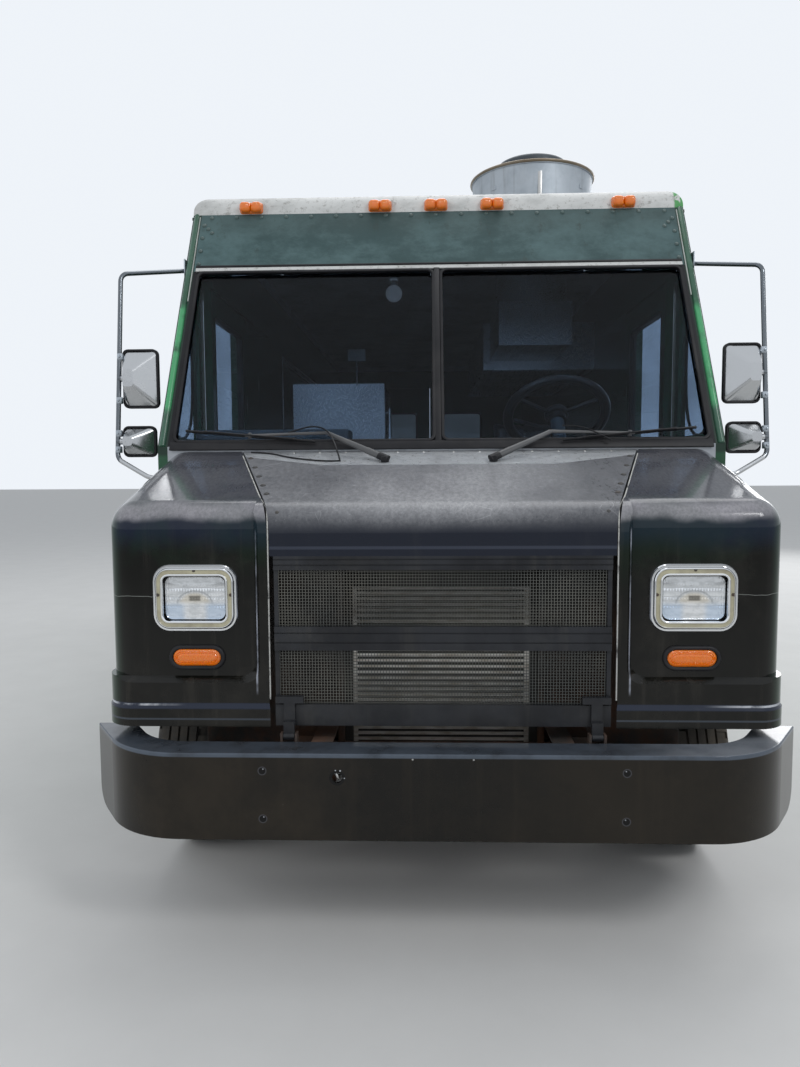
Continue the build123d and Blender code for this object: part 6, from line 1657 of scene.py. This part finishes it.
wires += [bar("spoke", (fan_x + 0.212 * cos(turn), fan_y + 0.212 * sin(turn), 3.3685),
    (fan_x + 0.37 * cos(turn), fan_y + 0.37 * sin(turn), 3.3685), 0.0025, 6)
    for turn in (radians(30 * i) for i in range(12))]
finished(joined("fan_guard", wires), old_zinc, 60)
print("roof rivets:", len(places))

# %% [markdown]
# ## Cab
# The driver's instruments sit in a raised housing on the dash, the wheel has a horn pad and a thick grip,
# and a bare bulb and a small thermostat show through the passenger's pane. Gauges are discs with raised
# rims and needles, and their faces carry only ticks.

# %% Instruments and switches
dash_y, dash_top = -2.644, 1.56
housing = [block("housing", (0.33, -2.8, dash_top - 0.002), (0.77, -2.66, 1.66), 0.02, 4)]
rims, faces, ticks = [], [], []
gauge_z = 1.612
for i, radius in ((0, 0.028), (1, 0.04), (2, 0.04), (3, 0.028)):
    x = 0.42 + 0.087 * i
    rims.append(ring("rim", (x, -2.659, gauge_z), (0, 1, 0), radius, 0.0035, 32, 8))
    faces.append(bar("face", (x, -2.662, gauge_z), (x, -2.6575, gauge_z), radius, 32))
    for turn in (radians(-30 + step * 48) for step in range(6)):
        inner, outer = radius * 0.72, radius * 0.9
        ticks.append(bar("tick", (x + inner * cos(turn), -2.657, gauge_z + inner * sin(turn)),
            (x + outer * cos(turn), -2.657, gauge_z + outer * sin(turn)), 0.0009, 4))
    ticks.append(bar("needle", (x, -2.656, gauge_z), (x - radius * 0.5, -2.656, gauge_z - radius * 0.45),
        0.0014, 5))
for i in range(6):
    housing.append(block("switch", (0.06 + 0.034 * i, dash_y, 1.43), (0.084 + 0.034 * i, dash_y + 0.012, 1.47),
        0.003))
finished(joined("instrument_housing", housing), dash_paint)
finished(joined("gauge_rims", rims), chrome)
finished(joined("gauge_faces", faces), gap_black)
finished(joined("gauge_ticks", ticks), sealer_pale)
wheel_at, wheel_out = Vector((0.55, -2.47, 1.835)), Vector((0, sin(radians(40)), cos(radians(40))))
pad = joined("horn_pad", [bar("pad", wheel_at - wheel_out * 0.012, wheel_at + wheel_out * 0.02, 0.055, 32,
    0.01), ring("grip", wheel_at, wheel_out, 0.228, 0.0168, 64, 10)])
finished(pad, wheel_black, 60, body="steering_wheel")
stalk = bar("turn_stalk", wheel_at - wheel_out * 0.1, wheel_at - wheel_out * 0.07 + Vector((-0.2, 0, 0.03)),
    0.006, 10, 0.002, 0.009)
finished(stalk, wheel_black)
box_lid = block("passenger_box_lid", (-1.02, -2.593, 1.5), (-0.39, -2.59, 1.74), 0.001, 1)
finished(box_lid, dash_paint)

# %% Bulb, thermostat and sun visors
bulb_glass = coat("bulb_glass", (0.4, 0.43, 0.45), (0.3, 0.33, 0.34), road_dirt, 0.1, 0, 0, 0.15, 0.3)
bulb_shader = next(node for node in bulb_glass.node_tree.nodes if node.type == "BSDF_PRINCIPLED")
# Painted light: a faint bluish glow in the bulb's glass keeps it bright in the dark cab; the bulb is not shown
# lit.
fill(bulb_shader, {"Emission Color": (0.75, 0.82, 0.9, 1), "Emission Strength": 0.12})
bulb_at = Vector((-0.229, -1.6, 2.588))
collar = ring("collar", bulb_at + Vector((0, 0, 0.075)), (0, 0, 1), 0.02, 0.006, 20, 8)
nothing_selected()
bpy.ops.mesh.primitive_uv_sphere_add(segments=28, ring_count=16, radius=0.047, location=bulb_at)
globe = bpy.context.object
globe.name = "globe"
applied()
finished(joined("cab_bulb", [collar, globe]), bulb_glass, 60)
stem = joined("bulb_stem", [bar("socket", bulb_at + Vector((0, 0, 0.05)), bulb_at + Vector((0, 0, 0.11)), 0.022,
    20, 0.004), bar("stem", bulb_at + Vector((0, 0, 0.1)), (bulb_at.x, bulb_at.y, 2.858), 0.006, 8),
    bar("rose", (bulb_at.x, bulb_at.y, 2.845), (bulb_at.x, bulb_at.y, 2.86), 0.05, 28, 0.004)])
finished(stem, panel_grey)
thermostat = joined("thermostat", [block("case", (-0.515, -1.41, 2.24), (-0.41, -1.381, 2.31), 0.006),
    bar("post", (-0.462, -1.39, 2.1), (-0.462, -1.39, 2.25), 0.004, 8),
    block("window", (-0.495, -1.413, 2.262), (-0.43, -1.409, 2.295), 0.001, 1)])
finished(thermostat, panel_grey)
visor_x, visor_y, visor_z = 0.62, -2.36, 2.668
visors = [block("visor", (side * visor_x - 0.3, visor_y, 2.66), (side * visor_x + 0.3, -2.18, 2.675), 0.006)
    for side in (1, -1)]
visors += [bar("pin", (side * visor_x - 0.28, visor_y, visor_z), (side * visor_x + 0.28, visor_y, visor_z),
    0.008, 12) for side in (1, -1)]
visors += [bar("hanger", (side * visor_x + dx, visor_y, visor_z), (side * visor_x + dx, -2.32, 2.799), 0.005, 8)
    for side in (1, -1) for dx in (-0.2, 0.2)]
finished(joined("sun_visors", visors), panel_grey)

# %% [markdown]
# ## Driver's seat
# The seat is a vinyl cushion and back over foam, creased but not torn. Each pad is a rounded block
# that is blown up a little by a cloth simulation with air pressure inside, capped so that it stays in the
# space of its solid, and the piping round its edge comes afterwards.

# %% Blown-up pads
vinyl, tree, shader = new_finish("seat_vinyl")
hide = add_node(tree, "ShaderNodeTexVoronoi", {"Vector": own_place(tree), "Scale": 420.0},
    feature="DISTANCE_TO_EDGE")
creases = noise(tree, 14, 8, 0.75)
worn = remap(tree, creases, 0.5, 0.7)
fill(shader, {"Base Color": blend_of(tree, times(tree, worn, 0.5), (0.02, 0.021, 0.024, 1),
    (0.075, 0.072, 0.07, 1)), "Roughness": remap(tree, worn, 0, 1, 0.38, 0.6)})
raised(tree, shader, sum_of(tree, "ADD", remap(tree, hide.outputs[0], 0, 0.12), times(tree, creases, 2.0)),
    0.0012, 0.5)


def blown(name, low, high, swell, lean, channels):
    """A foam pad between two corners: a rounded block filled with air, with sewn channels from front to back.
    lean moves it back with its height, and channels are the places of the seams across it."""
    seat_z, margin = low[2], Vector((0.2, 0.7, 0.7)) * swell
    low, high = Vector(low) + margin, Vector(high) - margin
    pad = block(name, low, high, min(high - low) * 0.35, 5)
    for point in pad.data.vertices:
        point.co.y += (point.co.z - low.z) * lean
    only(pad)
    fine = pad.modifiers.new("fine", "REMESH")
    fine.mode, fine.voxel_size = "VOXEL", 0.008
    bpy.ops.object.modifier_apply(modifier="fine")
    start = [point.co.copy() for point in pad.data.vertices]
    air = pad.modifiers.new("air", "CLOTH")
    air.settings.use_pressure = True
    air.settings.uniform_pressure_force = 4
    air.settings.effector_weights.gravity = 0
    for moment in range(1, 21):
        bpy.context.scene.frame_set(moment)
    shaped = pad.evaluated_get(bpy.context.evaluated_depsgraph_get()).data
    moved = [point.co.copy() for point in shaped.vertices]
    pad.modifiers.remove(air)
    bpy.context.scene.frame_set(1)
    for point, before, after in zip(pad.data.vertices, start, moved):
        shift = after - before
        point.co = before + shift * min(1.0, swell / max(shift.length, 1e-6))
    for point, facing in zip(pad.data.vertices, [point.normal.copy() for point in pad.data.vertices]):
        near = max(exp(-((point.co.x - seam) / 0.009) ** 2) for seam in channels)
        point.co -= Vector((0, facing.y, facing.z)) * near * 0.009
        point.co.z = max(point.co.z, seat_z)
    softer = pad.modifiers.new("softer", "SMOOTH")
    softer.factor, softer.iterations = 0.5, 2
    finer = pad.modifiers.new("finer", "SUBSURF")
    finer.levels = finer.render_levels = 1
    only(pad)
    bpy.ops.object.modifier_apply(modifier="softer")
    bpy.ops.object.modifier_apply(modifier="finer")
    return pad


def piping(name, pad, centre, across, along):
    """The welt round a pad: a cord laid on its outside in the plane of two directions."""
    surface = BVHTree.FromPolygons([point.co for point in pad.data.vertices],
        [face.vertices[:] for face in pad.data.polygons])
    points = []
    for i in range(72):
        turn = 2 * pi * i / 72
        out = (Vector(across) * cos(turn) + Vector(along) * sin(turn)).normalized()
        place = surface.ray_cast(Vector(centre) + out * 0.9, -out)[0]
        if place:
            points.append(place - out * 0.0035)
    return hose(name, points, 0.0045, 6, True)


seams = (0.43, 0.51, 0.59, 0.67)
cushion = blown("seat_pad", (0.312, -2.058, 1.0905), (0.788, -1.562, 1.218), 0.024, 0, seams)
rest = blown("seat_back", (0.322, -1.655, 1.205), (0.778, -1.565, 1.885), 0.022, 0.145, seams)
for pad, centre, across, along in ((cushion, (0.55, -1.81, 1.185), (1, 0, 0), (0, 1, 0)),
        (rest, (0.55, -1.585, 1.545), (1, 0, 0), (0, 0.145, 1))):
    finished(pad, vinyl, 180)
    finished(piping(pad.name + "_piping", pad, centre, across, along), vinyl, 60)
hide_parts("seat_cushions")
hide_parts("seat_cushions")
for pad in (cushion, rest):
    places = [point.co for point in pad.data.vertices]
    print(pad.name, [round(min(p[i] for p in places), 3) for i in range(3)],
        [round(max(p[i] for p in places), 3) for i in range(3)])

# %% [markdown]
# ## Kitchen
# Fridge doors are folded sheet with a gasket line and a bar handle, the cook line has round knobs and a
# griddle plate, the hood carries rows of baffle filters, and the counter has a pressed sink, its bowl a flat
# black plate of painted shade, and a tap. They are plain sheet steel work, so they are shallow blocks and
# bars set a few millimetres proud.

# %% Fridge, cook line, hood filters, sink and tap
sheets, handles, dark = [], [], []
for low_z, high_z in ((0.79, 1.42), (1.44, 2.09)):
    sheets.append(block("fridge_door", (-0.302, -1.37, low_z), (-0.296, -0.71, high_z), 0.003))
    handles.append(bar("handle", (-0.27, -1.32, low_z + 0.12), (-0.27, -1.32, high_z - 0.12), 0.01, 14, 0.003))
    handles += [bar("stand", (-0.3, -1.32, z), (-0.27, -1.32, z), 0.006, 10)
        for z in (low_z + 0.15, high_z - 0.15)]
dark.append(block("fridge_gap", (-0.303, -1.372, 1.422), (-0.2985, -0.708, 1.438), 0.001, 1))
knob = joined("knob", [bar("knob", (0.431, -0.42, 1.52), (0.404, -0.42, 1.52), 0.024, 24, 0.006),
    block("pointer", (0.401, -0.423, 1.505), (0.405, -0.417, 1.54), 0.001, 1)])
handles.append(row(knob, (0, 0.24, 0), 7))
dark.append(block("griddle", (0.48, -0.5, 1.699), (1.0, 0.35, 1.708), 0.004))
for i in range(4):
    for x in (0.6, 0.86):
        dark.append(ring("burner", (x, 0.5 + 0.19 * i, 1.706), (0, 0, 1), 0.06, 0.007, 28, 8))
sheets.append(row(block("baffle", (0.42, -0.58, 2.274), (1.04, -0.544, 2.281), 0.003, 1), (0, 0.053, 0), 34))
for low, high in (((-0.98, 1.09, 1.599), (-0.965, 1.51, 1.608)), ((-0.635, 1.09, 1.599), (-0.62, 1.51, 1.608)),
        ((-0.98, 1.09, 1.599), (-0.62, 1.105, 1.608)), ((-0.98, 1.495, 1.599), (-0.62, 1.51, 1.608))):
    sheets.append(block("sink_rim", low, high, 0.003))
# Painted shade: the sink's bowl is a flat black plate that stands for its depth.
dark.append(block("sink_bowl", (-0.966, 1.104, 1.597), (-0.634, 1.496, 1.603), 0.001, 1))
tap_x, tap_y = -1.06, 1.3
handles += [hose("tap", [(tap_x, tap_y, 1.6), (tap_x, tap_y, 1.8), (-1.03, tap_y, 1.86), (-0.97, tap_y, 1.87),
    (-0.92, tap_y, 1.84), (-0.915, tap_y, 1.79)], 0.011, 12),
    bar("tap_base", (tap_x, tap_y, 1.598), (tap_x, tap_y, 1.612), 0.028, 24, 0.004)]
finished(joined("kitchen_sheets", sheets), kitchen_steel)
finished(joined("kitchen_handles", handles), chrome, 60)
finished(joined("kitchen_dark", dark), gap_black)
